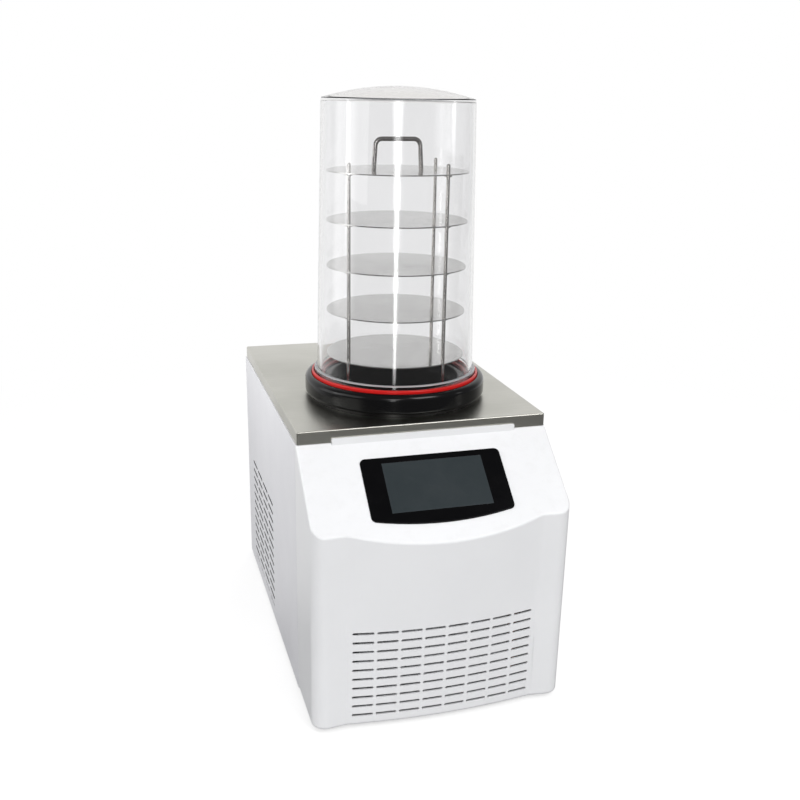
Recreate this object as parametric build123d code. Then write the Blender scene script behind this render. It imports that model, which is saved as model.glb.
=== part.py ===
"""Bench-top freeze dryer: clear bell chamber over a sheet-metal cabinet.

Millimetres, +Z up. The origin is at the bottom centre of the whole part, under the
rubber feet. -Y is the front, where the console is.
"""
from build123d import *
import math
import os

os.makedirs("parts", exist_ok=True)

# ---------------------------------------------------------------- driving dimensions
# Cabinet
cabinet_width = 345.0
plate_depth = 457.0          # steel top, front to back
nose_reach = 119.6           # furthest point of the console ahead of the steel top
top_height = 380.0           # floor to the face of the steel top
foot_height = 5.0            # rubber feet below the cabinet's lower edge
sheet = 1.2                  # painted sheet steel
plate_sheet = 1.5            # stainless top
plate_inset = 1.5            # steel top stands inside the cabinet's sides
skirt_height = 17.0
skirt_gap = 0.6              # shadow gap under the skirt
seam_gap = 0.6               # shadow gap between front panel and sides
seat_gap = 0.3               # clearance of a piece in or on its seat
cut_past = 9.0               # how far a cutter runs beyond the faces that it opens

# Moulded front panel
moulding = 3.0               # wall
seam_depth = 5.0             # the moulding reaches back past the plate's front edge
slope_angle = 39.6           # console's fall from level
slope_round = 3.5            # where the slope turns down at its edges
crest_low = 101.0            # corner columns ahead of the steel top, at the foot
crest_high = 103.0           # and at the nose's height
valley_low = 96.0            # shallow valleys beside them
valley_high = 101.5
middle_low = 104.5           # bowed middle; its top is the nose
valley_at = 128.0            # from the middle
valley_round = 25.0
corner_round = 18.0
apron_foot_round = 5.0
tab_half_width = 126.0       # raised tab over the skirt
tab_height = 6.0
tab_thick = 2.4
bottom_flange = 22.0         # turned-in floor of the moulding
tongue_reach = 10.0
tongue_thick = 2.0
tongue_length = 70.0

# Vent field in the front panel
vent_columns = 8
vent_rows = 10
vent_length = 27.6
vent_height = 3.8
vent_field_width = 244.0
vent_low = 20.5
vent_high = 141.0

# Vent field in each side panel
side_vent_columns = 4
side_vent_rows = 13
side_vent_length = 42.0
side_vent_height = 4.0
side_vent_start = 202.0      # behind the plate's front edge
side_vent_pitch = 51.0
side_vent_low = 24.0
side_vent_high = 196.0

# Touch panel
screen_width = 190.0
screen_top = 28.5            # down the slope from its upper edge
screen_height = 88.5
screen_bulge = 10.5          # how far its lower edge bows out
screen_round = 7.0
screen_thick = 3.0
screen_recess = 1.5
housing_depth = 16.0         # the module behind the bezel
housing_margin = 18.0
window_width = 135.0
window_height = 71.5
window_drop = 9.0            # below the bezel's upper edge
window_thick = 0.8
window_stand = 0.15          # stands proud of the bezel

# Chamber
chamber_axis = 147.0         # behind the plate's front edge
jar_height = 390.0
jar_radius = 111.0           # above the foot
jar_crown_radius = 103.5     # at the shoulder: the wall has a draft
jar_wall = 6.0
jar_flange_radius = 115.0
jar_flange = 9.0
dome_rise = 15.0
shoulder_round = 3.0
seal_radius = 118.5
seal_inner = 100.5
seal_base = 3.0
seal_lip = 3.6
seal_outer_round = 1.5
seal_inner_round = 1.0
ring_radius = 128.0
ring_foot_radius = 121.0
ring_foot_height = 5.0
ring_hole = 82.0
ring_top = 31.5              # above the steel top
ring_seat = 29.0             # seal's seat above the steel top
ring_ledge = 16.0            # inner ledge above the steel top
ring_step = 1.0              # clear of the rods that stand on the ledge
ring_round = 7.5
ring_low_round = 4.0
ring_step_round = 1.5
ring_groove_round = 1.2
ring_hole_round = 1.5

# Cold trap
trap_radius = 80.0           # outside
trap_wall = 1.2
trap_depth = 190.0           # below the steel top
trap_rim_radius = 92.0
coil_start = 14.0            # coil above the trap's floor
trap_drain_radius = 6.0

# Rack
shelf_radius = 97.0
shelf_thick = 1.5
lowest_shelf = 46.2          # upper face above the ring's ledge
shelf_pitch = 62.0
carrier_gap = 65.5           # top plate above the highest shelf
shelf_count = 4
rod_radius = 2.5
rod_circle = 87.0
rod_angles = (208.0, 302.0, 35.0)
rod_stand = 12.5             # tip above the rack's top plate
rod_clearance = 0.3
collar_radius = 5.0
collar_height = 2.5
handle_width = 65.0          # between the feet
handle_top_width = 60.0
handle_height = 41.0
handle_wire = 2.5            # wire radius
handle_bend = 12.0
handle_boss_radius = 4.0
handle_boss = 1.5

# Insulation and evaporator
coil_tube = 4.0              # tube radius
coil_pitch = 22.0
coil_turns = 5
jacket_radius = 112.0
jacket_floor = 12.0

# Vacuum line
port_drop = 45.0             # port's axis below the steel top
pipe_radius = 11.0
pipe_wall = 1.2
port_flange_radius = 20.0
port_flange = 3.0
port_bore = 10.4
port_cone = 2.0
port_length = 17.0
sensor_at = 388.0            # behind the plate's front edge
sensor_radius = 9.0
sensor_height = 20.0

# Drain
drain_radius = 5.0
drain_wall = 1.0
drain_height = 130.0
drain_bend = 20.0
valve_width = 22.0
valve_depth = 15.0
valve_height = 26.0
spigot_radius = 4.0
spigot_length = 16.0
spigot_lead = 1.2            # chamfer at its tip
spigot_bore = 2.4
lever_length = 36.0
lever_width = 8.0
lever_thick = 3.0
lever_hub = 1.2              # hub proud of the lever
lever_spindle = 2.5
shaft_gap = 0.05             # running clearance of a shaft in its bore

# Air-release valve
release_x = 60.0
release_radius = 8.0
release_flange_radius = 12.0
release_flange = 3.0
knob_radius = 11.0
knob_height = 12.0
knob_spindle = 2.5
knob_grips = 12

# Compressor
compressor_offset = 79.3     # left of the middle, clear of the drain pipe
compressor_y = 345.0         # behind the plate's front edge
compressor_radius = 62.0
compressor_height = 168.0
compressor_plate = 3.0
compressor_plate_size = 146.0
compressor_round = 34.0      # crown of the pot
compressor_seam = 84.0       # weld seam above the foot plate
compressor_seam_height = 4.0
compressor_seam_stand = 3.0
stub_offset = 40.0           # stubs left and right of the compressor's middle
stub_length = 14.0
suction_rise = 108.0         # suction stub above the compressor's floor
grommet_radius = 9.0
grommet_height = 10.0
grommet_hole = 4.0
terminal_width = 44.0
terminal_depth = 26.0
terminal_height = 40.0

# Condenser and fan
condenser_width = 210.0
condenser_height = 132.0
condenser_depth = 30.0
condenser_front = 62.0       # ahead of the plate's front edge
condenser_tubes = 5
condenser_tube_radius = 4.0
tube_stand = 5.0             # tubes beyond the end plates
fin_count = 24
fin_depth = 1.6
fan_radius = 56.0
fan_gap = 2.0
fan_blades = 5
fan_hub_radius = 17.0
fan_hub_depth = 16.0
fan_pitch = 28.0
fan_blade_thick = 1.6
shroud_wall = 1.5
shroud_depth = 34.0
motor_radius = 24.0
motor_depth = 34.0
motor_shaft = 3.0
bracket_width = 12.0
bracket_thick = 2.0

# Refrigerant lines
line_radius = 3.2
line_bend = 8.0
liquid_radius = 1.6
liquid_x = 60.0              # where the liquid line enters the jacket
liquid_height = 250.0
suction_reach = 75.0         # suction line behind the chamber's axis
drier_radius = 10.0
drier_length = 90.0

# Electrics
supply_width = 70.0
supply_depth = 120.0
supply_height = 42.0
supply_side = 23.0           # clear of the right side sheet
supply_y = 330.0
supply_slots = 9
supply_slot = 24.0
supply_slot_height = 3.0
supply_slot_pitch = 10.0
board_width = 100.0
board_depth = 120.0
board_thick = 1.6
board_lift = 12.0
board_side = 9.0             # clear of the right side sheet
board_y = 165.0
board_post = 3.0             # post's radius
board_post_inset = 6.0
relay_count = 4
relay_pitch = 22.0
relay_width = 16.0
relay_depth = 26.0
relay_height = 16.0
plug_width = 14.0
plug_depth = 10.0
plug_height = 9.0
plug_edge = 8.0              # plugs behind the board's front edge
relay_edge = 12.0            # relays ahead of its rear edge
chip_width = 28.0
chip_depth = 24.0
chip_height = 3.0
inlet_width = 27.0
inlet_height = 20.0
inlet_depth = 24.0
inlet_flange = 2.5
inlet_recess = 15.0
inlet_wall = 2.0
inlet_lip = 3.0              # flange beyond the body
inlet_side = 36.5            # inlet's middle from the cabinet's right side
socket_pitch = 40.0          # from inlet to socket
switch_pitch = 38.0          # from socket to switch
electric_height = 62.0
switch_width = 14.0
switch_height = 22.0
rocker_stand = 5.0           # rocker's ends beyond its pin
rocker_dish = 2.0            # hollow between them
rocker_tilt = 8.0            # each way
switch_wall = 1.5
switch_well = 12.0
pin_radius = 1.2
pin_sink = 2.0               # pin's centre behind the rear face

# Feet and screws
foot_radius = 15.0
foot_inset = 30.0            # foot's centre from the base's edges
screw_radius = 3.5
screw_height = 2.2
screw_shank = 1.9
screw_length = 5.0
rear_screw_inset = 10.0      # from the side sheets
rear_screw_low = 40.0
rear_screw_drop = 32.0       # below the side panels' upper edge

# ------------------------------------------------------------------ derived places
half_width = cabinet_width / 2
rear_reach = valve_depth + seat_gap + lever_thick + lever_hub
overall_depth = nose_reach + plate_depth + rear_reach
plate_front = nose_reach - overall_depth / 2
rear_face = plate_front + plate_depth
seam_y = plate_front + seam_depth
axis_y = plate_front + chamber_axis
skirt_low = top_height - skirt_height
side_top = skirt_low - skirt_gap
plate_under = top_height - plate_sheet
inner_half = half_width - sheet
base_top = foot_height + sheet
slope_run = math.tan(math.radians(slope_angle))
nose_z = side_top - nose_reach * slope_run
plate_half = half_width - plate_inset

seat_z = top_height + ring_seat
jar_foot = seat_z + seal_base
jar_top = jar_foot + jar_height
ledge_z = top_height + ring_ledge
ring_bore = rod_circle + rod_radius + ring_step
trap_bottom = top_height - trap_depth
port_height = top_height - port_drop
shelf_tops = [ledge_z + lowest_shelf + i * shelf_pitch for i in range(shelf_count)]
carrier_top = shelf_tops[-1] + carrier_gap
rod_top = carrier_top + rod_stand
rod_places = [
    (rod_circle * math.cos(math.radians(a)), axis_y + rod_circle * math.sin(math.radians(a)))
    for a in rod_angles
]

condenser_face = plate_front - condenser_front
condenser_back = condenser_face + condenser_depth
fan_z = base_top + condenser_height / 2
shroud_back = condenser_back + shroud_depth
fan_y = condenser_back + shroud_depth / 2
motor_y = shroud_back + 2 * bracket_thick
compressor_x = -compressor_offset
compressor_back = plate_front + compressor_y
compressor_floor = base_top + grommet_height
suction_z = compressor_floor + suction_rise
tube_pitch = condenser_height / condenser_tubes
tube_y = (condenser_face + condenser_back) / 2
tube_tip = condenser_width / 2 + tube_stand
low_tube_z = base_top + tube_pitch / 2
discharge_z = base_top + condenser_height - tube_pitch / 2
stub_y = compressor_back - math.sqrt(compressor_radius**2 - stub_offset**2) - stub_length
jacket_low = trap_bottom - jacket_floor
supply_x = inner_half - supply_side - supply_width / 2
board_x = inner_half - board_side - board_width / 2
inlet_x = half_width - inlet_side
socket_x = inlet_x - socket_pitch
switch_x = socket_x - switch_pitch


# ------------------------------------------------------------------------ helpers
def block(x0, x1, y0, y1, z0, z1):
    """Box given by its faces."""
    corner = Box(x1 - x0, y1 - y0, z1 - z0, align=(Align.MIN, Align.MIN, Align.MIN))
    return Pos(x0, y0, z0) * corner


def upright(radius, z0, z1, x=0.0, y=0.0):
    """Cylinder along Z."""
    return Pos(x, y, z0) * Cylinder(radius, z1 - z0, align=(Align.CENTER, Align.CENTER, Align.MIN))


def rearward(radius, y0, y1, x=0.0, z=0.0):
    """Cylinder along Y."""
    return Pos(x, (y0 + y1) / 2, z) * Rot(90, 0, 0) * Cylinder(radius, y1 - y0)


def turned(points, x=0.0, y=0.0, rounds=()):
    """Solid of revolution about a vertical axis from (radius, z) points.

    rounds holds (index of the point, radius) pairs for rounded corners.
    """
    outline = Polyline(*points, close=True)
    face = make_face(outline)
    for index, radius in rounds:
        r, z = points[index]
        corner = face.vertices().sort_by_distance((r, z, 0))[0]
        face = fillet(corner, radius)
    return Pos(x, y, 0) * revolve(Plane.XZ * face, Axis.Z)


def folded(points, thickness, length, y):
    """Folded sheet: the strip to the left of a path in X and Z, run along Y."""
    strip = offset(Polyline(*points), thickness, side=Side.LEFT, kind=Kind.INTERSECTION)
    profile = make_face(strip)
    return Pos(0, y, 0) * extrude(Plane.XZ * profile, -length)


def routed(points, radius, bends, wall=0.0):
    """Tube along straight runs joined by tangent arcs; solid when wall is 0."""
    path = FilletPolyline(*points, radius=bends)
    section = Plane(origin=path @ 0, z_dir=path % 0) * Circle(radius)
    tube = sweep(section, path)
    if wall:
        bore = Plane(origin=path @ 0, z_dir=path % 0) * Circle(radius - wall)
        tube -= sweep(bore, path)
    return tube


def slot_cutters(columns, rows, length, height, width, low, high, depth):
    """Rounded slots in a field centred on X = 0, cut along Y."""
    pitch = (width - length) / (columns - 1)
    step = (high - low) / (rows - 1)
    slot = extrude(Plane.XZ * SlotOverall(length, height), depth / 2, both=True)
    places = []
    for column in range(columns):
        for row in range(rows):
            x = (column - (columns - 1) / 2) * pitch
            places.append(Pos(x, 0, low + row * step) * slot)
    return places


# -------------------------------------------------------------- moulded front panel
def slope_z(y):
    """Height of the console's slope at a place along Y."""
    return side_top + (y - plate_front) * slope_run


def leaned(low, high, z):
    """Reach at a height, from its values at the foot and at the nose."""
    return low + (high - low) * (z - foot_height) / (nose_z - foot_height)


def front_plan(z, inset):
    """Plan of the moulding at a height: corner columns, shallow valleys, bowed middle."""
    side = half_width
    crest = plate_front - leaned(crest_low, crest_high, z)
    valley = plate_front - leaned(valley_low, valley_high, z)
    middle = plate_front - leaned(middle_low, nose_reach, z)
    lines = [
        Line((-side, seam_y), (-side, crest)),
        Line((-side, crest), (-valley_at, valley)),
        ThreePointArc((-valley_at, valley), (0, middle), (valley_at, valley)),
        Line((valley_at, valley), (side, crest)),
        Line((side, crest), (side, seam_y)),
        Line((side, seam_y), (-side, seam_y)),
    ]
    face = make_face(Curve() + lines)
    turns = [v for v in face.vertices() if abs(v.X) < side - 1]
    face = fillet(turns, valley_round)
    corners = face.vertices().sort_by(Axis.Y)
    face = fillet([v for v in corners if abs(v.X) > side - 1 and v.Y < seam_y - 1], corner_round)
    if inset:
        face = offset(face, -inset, kind=Kind.INTERSECTION)
    return Pos(0, 0, z) * face


def above_slope(inset):
    """Everything above the slope and the flat behind it, for cutting the moulding."""
    drop = inset / math.cos(math.radians(slope_angle))
    far = plate_front - nose_reach - 4 * moulding
    back = seam_y + moulding
    top = side_top - inset
    high = side_top + 4 * moulding
    knee = plate_front + (inset and (drop - inset) / slope_run)
    points = [(far, slope_z(far) - drop), (knee, top), (back, top), (back, high), (far, high)]
    face = Plane.YZ * make_face(Polyline(*points, close=True))
    return extrude(face, cabinet_width, both=True)


def moulded_body(inset):
    """Solid inside the moulding's faces; inset gives the hollow inside its wall."""
    heights = (foot_height + inset, side_top + moulding)
    return loft([front_plan(z, inset) for z in heights], ruled=True) - above_slope(inset)


def front_panel():
    """One moulding: sloped console, lower apron with the vent field, tab, tongues."""
    body = moulded_body(0)
    rim = [
        e for e in body.edges()
        if abs(e.center().Z - slope_z(e.center().Y)) < seat_gap and e.center().Y < plate_front - 1
    ]
    body = fillet(rim, slope_round)
    lower_edges = body.faces().sort_by(Axis.Z)[0].edges().sort_by(Axis.Y)[:-1]
    lower_edges = [e for e in lower_edges if abs(e.center().X) < half_width - 0.1]
    body = fillet(lower_edges, apron_foot_round)

    hollow_low = foot_height + moulding
    body -= moulded_body(moulding)
    body -= block(
        -half_width + moulding, half_width - moulding,
        seam_y - 2 * moulding, seam_y + 1, hollow_low, side_top - moulding,
    )
    # the floor is a short turned-in flange
    body -= block(
        -half_width + moulding, half_width - moulding,
        plate_front - valley_low + bottom_flange, seam_y + 1, 0, hollow_low + 1,
    )
    body += tab()
    body += tongues()
    slots = slot_cutters(
        vent_columns, vent_rows, vent_length, vent_height,
        vent_field_width, vent_low, vent_high, 10 * moulding,
    )
    vent_y = plate_front - (valley_low + nose_reach) / 2
    body -= [Pos(0, vent_y, 0) * slot for slot in slots]
    recess = extrude(screen_outline(seat_gap), 2 * screen_recess)
    opening = extrude(housing_outline(seat_gap), 4 * moulding, both=True)
    return body - [slope_frame() * Pos(0, 0, -screen_recess) * recess, slope_frame() * opening]


def tongues():
    """Locating tongues that reach behind the side panels."""
    reach = seam_y + tongue_reach
    outer = inner_half
    made = []
    for low in (foot_height + tongue_length, side_top - 2 * tongue_length):
        for side in (-1, 1):
            x0, x1 = sorted((side * outer, side * (outer - tongue_thick)))
            root0, root1 = sorted((side * outer, side * (half_width - moulding - tongue_thick)))
            made.append(block(x0, x1, seam_y - tongue_reach, reach, low, low + tongue_length))
            made.append(
                block(root0, root1, seam_y - tongue_reach, seam_y, low, low + tongue_length)
            )
    return made


def tab():
    """Raised tab of the moulding in front of the skirt."""
    back = plate_front - seat_gap
    outline = RectangleRounded(2 * tab_half_width, 2 * tab_height, 2.0)
    face = Plane.XZ * outline
    plate = Pos(0, back, skirt_low) * extrude(face, tab_thick)
    return plate - block(
        -half_width, half_width, back - 2 * tab_thick, back + 1,
        0, slope_z(back - tab_thick) - moulding,
    )


def slope_frame():
    """Frame on the slope: origin at its upper edge, Y up the slope, Z out of it."""
    return Plane(
        origin=(0, plate_front, side_top),
        x_dir=(1, 0, 0),
        z_dir=(0, -math.sin(math.radians(slope_angle)), math.cos(math.radians(slope_angle))),
    )


def screen_outline(margin):
    """Bezel outline on the slope: straight top and sides, bowed lower edge."""
    half = screen_width / 2
    top = -screen_top
    low = top - screen_height
    face = make_face(
        Curve()
        + [
            Line((-half, low), (-half, top)),
            Line((-half, top), (half, top)),
            Line((half, top), (half, low)),
            ThreePointArc((half, low), (0, low - screen_bulge), (-half, low)),
        ]
    )
    face = fillet(face.vertices(), screen_round)
    if margin:
        face = offset(face, margin)
    return face


def housing_outline(margin):
    """Outline of the module behind the bezel."""
    width = screen_width - 2 * housing_margin + 2 * margin
    height = screen_height - housing_margin + 2 * margin
    return Pos(0, -screen_top - screen_height / 2) * Rectangle(width, height)


def touch_panel():
    """Black bezel seated in its recess, with the module's housing behind it."""
    bezel = Pos(0, 0, -screen_recess) * extrude(screen_outline(0), screen_thick)
    bezel = fillet(bezel.faces().sort_by(Axis.Z)[-1].edges(), 0.8)
    housing = Pos(0, 0, -screen_recess - housing_depth) * extrude(
        housing_outline(0), housing_depth
    )
    proud = screen_thick - screen_recess
    pocket = Pos(0, 0, proud - window_thick + window_stand) * extrude(
        window_outline(0), window_thick
    )
    return slope_frame() * (bezel + housing - pocket)


def window_outline(margin):
    """Display window's outline on the slope."""
    centre = -screen_top - window_drop - window_height / 2
    return Pos(0, centre) * Rectangle(window_width + 2 * margin, window_height + 2 * margin)


def display():
    """Display window let into the bezel."""
    proud = screen_thick - screen_recess
    pane = extrude(window_outline(0), window_thick)
    return slope_frame() * Pos(0, 0, proud - window_thick + window_stand) * pane


# -------------------------------------------------------------- sheet-metal cabinet
def side_panel(side):
    """Side sheet with a joggled top flange under the steel top and a vent field."""
    front = seam_y + seam_gap
    depth = rear_face - front
    shoulder = plate_half - plate_sheet - seat_gap
    lip = 12.0
    points = [
        (half_width, foot_height),
        (half_width, side_top),
        (shoulder, side_top),
        (shoulder, plate_under),
        (shoulder - lip, plate_under),
    ]
    sheet_part = folded(points, sheet, depth, front)
    slot = extrude(Plane.YZ * SlotOverall(side_vent_length, side_vent_height), 4 * sheet, both=True)
    step = (side_vent_high - side_vent_low) / (side_vent_rows - 1)
    first = plate_front + side_vent_start + side_vent_length / 2
    slots = [
        Pos(half_width, first + column * side_vent_pitch, side_vent_low + row * step) * slot
        for column in range(side_vent_columns)
        for row in range(side_vent_rows)
    ]
    notch = block(
        0, plate_half, rear_face - plate_sheet - seat_gap, rear_face + 1, side_top, top_height
    )
    panel = sheet_part - [notch, *slots]
    return panel if side > 0 else mirror(panel, Plane.YZ)


def rear_hole(radius, x, z):
    """Cutter for a round hole through the rear panel, with a seat's clearance."""
    return rearward(radius + seat_gap, rear_face - cut_past, rear_face + cut_past, x, z)


def rear_panel():
    """Rear sheet between the sides, with its cut-outs."""
    panel = block(
        -inner_half, inner_half, rear_face - sheet, rear_face, foot_height, side_top - sheet
    )
    cuts = [rear_hole(pipe_radius, 0, port_height), rear_hole(drain_radius, 0, drain_height)]
    cuts.append(rear_hole(release_radius, release_x, port_height))
    for x in (inlet_x, socket_x):
        cuts.append(rear_window(x, inlet_width, inlet_height))
    cuts.append(rear_window(switch_x, switch_width, switch_height))
    for x, z in rear_screw_places():
        cuts.append(rear_hole(screw_shank, x, z))
    return panel - cuts


def rear_window(x, width, height):
    """Cut for a snap-in electrical fitting."""
    w = width / 2 + seat_gap
    h = height / 2 + seat_gap
    return block(
        x - w, x + w, rear_face - cut_past, rear_face + cut_past,
        electric_height - h, electric_height + h,
    )


def base_pan():
    """Folded tray that carries everything."""
    front = plate_front - valley_low + bottom_flange + seat_gap
    back = rear_face - sheet
    rim = 16.0
    pan = block(-inner_half, inner_half, seam_y + seam_gap, back, foot_height, foot_height + rim)
    pan -= block(
        -inner_half + sheet, inner_half - sheet,
        seam_y + seam_gap + sheet, back - sheet, base_top, foot_height + rim + 1,
    )
    nose_half = half_width - moulding - seat_gap
    pan += block(-nose_half, nose_half, front, seam_y + seam_gap + sheet, foot_height, base_top)
    pan -= block(
        -nose_half, nose_half, seam_y, seam_y + seam_gap + sheet, base_top, foot_height + rim + 1
    )
    holes = [upright(screw_shank + seat_gap, 0, base_top + 1, x, y) for x, y in foot_places()]
    return pan - holes


def foot_places():
    """Centres of the four feet: front left, front right, rear left, rear right."""
    x = inner_half - foot_inset
    return [
        (side * x, y)
        for y in (seam_y + foot_inset, rear_face - foot_inset)
        for side in (-1, 1)
    ]


def foot(place):
    """Rubber foot, hollowed for its screw."""
    x, y = place
    points = [
        (0, foot_height), (foot_radius, foot_height), (foot_radius - 1.5, 0),
        (5.0, 0), (5.0, screw_height + 0.6), (0, screw_height + 0.6),
    ]
    body = turned(points, x, y)
    return body - upright(screw_shank, 0, foot_height + 1, x, y)


def base_screws():
    """Screws that hold the feet to the pan."""
    head = screw_height + 0.6
    made = []
    for x, y in foot_places():
        shank = upright(screw_shank, head, base_top + screw_length, x, y)
        made.append(upright(screw_radius, head - screw_height, head, x, y) + shank)
    return made


def top_plate():
    """Folded stainless top with its skirt and the hole for the trap."""
    outer = block(-plate_half, plate_half, plate_front, rear_face, skirt_low, top_height)
    corners = outer.edges().filter_by(Axis.Z)
    outer = fillet(corners, 2 * plate_sheet)
    outer = fillet(outer.faces().sort_by(Axis.Z)[-1].edges(), plate_sheet)
    inner = block(
        -plate_half + plate_sheet, plate_half - plate_sheet,
        plate_front + plate_sheet, rear_face - plate_sheet, skirt_low - 1, plate_under,
    )
    hole = upright(trap_radius + seat_gap, skirt_low, top_height + 1, 0, axis_y)
    return outer - inner - hole


def rear_screw_places():
    """Screws round the rear panel."""
    x = inner_half - rear_screw_inset
    high = side_top - rear_screw_drop
    middle = (rear_screw_low + high) / 2
    return [(side * x, z) for side in (-1, 1) for z in (rear_screw_low, middle, high)]


def rear_screws():
    """Pan-head screws in the rear panel."""
    made = []
    for x, z in rear_screw_places():
        head = rearward(screw_radius, rear_face, rear_face + screw_height, x, z)
        head = fillet(head.faces().sort_by(Axis.Y)[-1].edges(), 0.9)
        made.append(head + rearward(screw_shank, rear_face - screw_length, rear_face, x, z))
    return made


# ------------------------------------------------------------------------- chamber
def seat_ring():
    """Black ring that carries the jar: foot, rounded flange, seal seat and ledge."""
    foot_top = top_height + ring_foot_height
    top = top_height + ring_top
    groove = seal_radius + seat_gap
    rim_top = trap_rim_radius + seat_gap
    points = [
        (rim_top, top_height),
        (ring_foot_radius, top_height),
        (ring_foot_radius, foot_top),
        (ring_radius, foot_top),
        (ring_radius, top),
        (groove, top),
        (groove, seat_z),
        (ring_bore, seat_z),
        (ring_bore, ledge_z),
        (ring_hole, ledge_z),
        (ring_hole, top_height + trap_wall + seat_gap),
        (rim_top, top_height + trap_wall + seat_gap),
    ]
    rounds = [
        (3, ring_low_round), (4, ring_round), (5, ring_groove_round), (7, ring_step_round),
        (9, ring_hole_round),
    ]
    return turned(points, 0, axis_y, rounds)


def seal_ring():
    """Red seal under and around the jar's foot."""
    lip_inner = jar_flange_radius + seat_gap
    points = [
        (seal_inner, seat_z),
        (seal_radius, seat_z),
        (seal_radius, jar_foot + seal_lip),
        (lip_inner, jar_foot + seal_lip),
        (lip_inner, jar_foot),
        (seal_inner, jar_foot),
    ]
    rounds = [(2, seal_outer_round), (3, seal_inner_round)]
    return turned(points, 0, axis_y, rounds)


def bell_jar():
    """Clear bell: foot flange, slightly tapered wall, shoulder and shallow dome."""
    inner = jar_radius - jar_wall
    inner_crown = jar_crown_radius - jar_wall
    shoulder = jar_top - dome_rise
    outer_dome = [
        Line((0, jar_foot), (jar_flange_radius, jar_foot)),
        Line((jar_flange_radius, jar_foot), (jar_flange_radius, jar_foot + jar_flange)),
        Line((jar_flange_radius, jar_foot + jar_flange), (jar_radius, jar_foot + jar_flange)),
        Line((jar_radius, jar_foot + jar_flange), (jar_crown_radius, shoulder)),
        dome_arc(jar_crown_radius, shoulder, jar_top),
        Line((0, jar_top), (0, jar_foot)),
    ]
    outer = make_face(Curve() + outer_dome)
    knee = outer.vertices().sort_by_distance((jar_crown_radius, shoulder, 0))[0]
    outer = fillet(knee, shoulder_round)
    lip = outer.vertices().sort_by_distance((jar_flange_radius, jar_foot + jar_flange, 0))[0]
    outer = fillet(lip, jar_flange / 3)
    hollow = make_face(
        Curve()
        + [
            Line((0, jar_foot - 1), (inner, jar_foot - 1)),
            Line((inner, jar_foot - 1), (inner_crown, shoulder - jar_wall)),
            dome_arc(inner_crown, shoulder - jar_wall, jar_top - jar_wall),
            Line((0, jar_top - jar_wall), (0, jar_foot - 1)),
        ]
    )
    return Pos(0, axis_y, 0) * revolve(Plane.XZ * (outer - hollow), Axis.Z)


def dome_arc(radius, edge, crown):
    """Shallow arc from the shoulder to the crown on the axis."""
    rise = crown - edge
    bow = (radius**2 + rise**2) / (2 * rise)
    return RadiusArc((radius, edge), (0, crown), -bow)


def shelf(top):
    """Thin round shelf with the holes for the rods."""
    disc = upright(shelf_radius, top - shelf_thick, top, 0, axis_y)
    holes = [
        upright(rod_radius + rod_clearance, top - cut_past, top + cut_past, x, y)
        for x, y in rod_places
    ]
    return disc - holes


def rack_rod(place):
    """Rod standing on the ring's ledge, with a domed tip."""
    x, y = place
    rod = upright(rod_radius, ledge_z, rod_top, x, y)
    return fillet(rod.faces().sort_by(Axis.Z)[-1].edges(), rod_radius - 0.2)


def rack_collars():
    """Collars on the rods under each plate."""
    made = []
    bore = rod_radius + shaft_gap
    for top in [*shelf_tops, carrier_top]:
        under = top - shelf_thick
        for x, y in rod_places:
            collar = upright(collar_radius, under - collar_height, under, x, y)
            made.append(collar - upright(bore, under - cut_past, under + cut_past, x, y))
    return made


def rack_handle():
    """Bent wire handle with a boss at each foot."""
    half = handle_width / 2
    top_half = handle_top_width / 2
    z0 = carrier_top + handle_boss / 2
    z1 = carrier_top + handle_height
    path = [
        (-half, axis_y, z0), (-top_half, axis_y, z1),
        (top_half, axis_y, z1), (half, axis_y, z0),
    ]
    bail = routed(path, handle_wire, handle_bend)
    for x in (-half, half):
        bail += upright(handle_boss_radius, carrier_top, carrier_top + handle_boss, x, axis_y)
    return bail


# ----------------------------------------------------------------------- cold trap
def cold_trap():
    """Stainless tube hung by its rim on the steel top, open at both ends."""
    points = [
        (trap_radius, trap_bottom + trap_wall),
        (trap_radius, top_height),
        (trap_rim_radius, top_height),
        (trap_rim_radius, top_height + trap_wall),
        (trap_radius - trap_wall, top_height + trap_wall),
        (trap_radius - trap_wall, trap_bottom + trap_wall),
    ]
    port = rearward(pipe_radius - pipe_wall, axis_y, axis_y + 2 * trap_radius, 0, port_height)
    return turned(points, 0, axis_y) - port


def trap_floor():
    """Floor welded under the tube, with the drain's outlet."""
    floor = upright(trap_radius, trap_bottom, trap_bottom + trap_wall, 0, axis_y)
    low, high = trap_bottom - cut_past, trap_bottom + cut_past
    return floor - upright(drain_radius - drain_wall, low, high, 0, axis_y)


def evaporator_coil():
    """Refrigerant tube wound round the trap."""
    radius = trap_radius + coil_tube + seat_gap
    path = Helix(coil_pitch, coil_pitch * coil_turns, radius)
    section = Plane(origin=path @ 0, z_dir=path % 0) * Circle(coil_tube)
    coil = sweep(section, path, is_frenet=True)
    return Pos(0, axis_y, trap_bottom + coil_start + coil_tube) * coil


def insulation_jacket():
    """Foam round the trap and coil, against the underside of the steel top."""
    bore = trap_radius + 2 * coil_tube + 2 * seat_gap
    low = jacket_low
    jacket = upright(jacket_radius, low, plate_under, 0, axis_y)
    jacket -= upright(bore, trap_bottom - seat_gap, plate_under + 1, 0, axis_y)
    jacket -= upright(trap_drain_radius + seat_gap, low - 1, plate_under, 0, axis_y)
    jacket -= rearward(
        pipe_radius + seat_gap, axis_y, axis_y + 2 * jacket_radius, 0, port_height
    )
    return jacket


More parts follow.
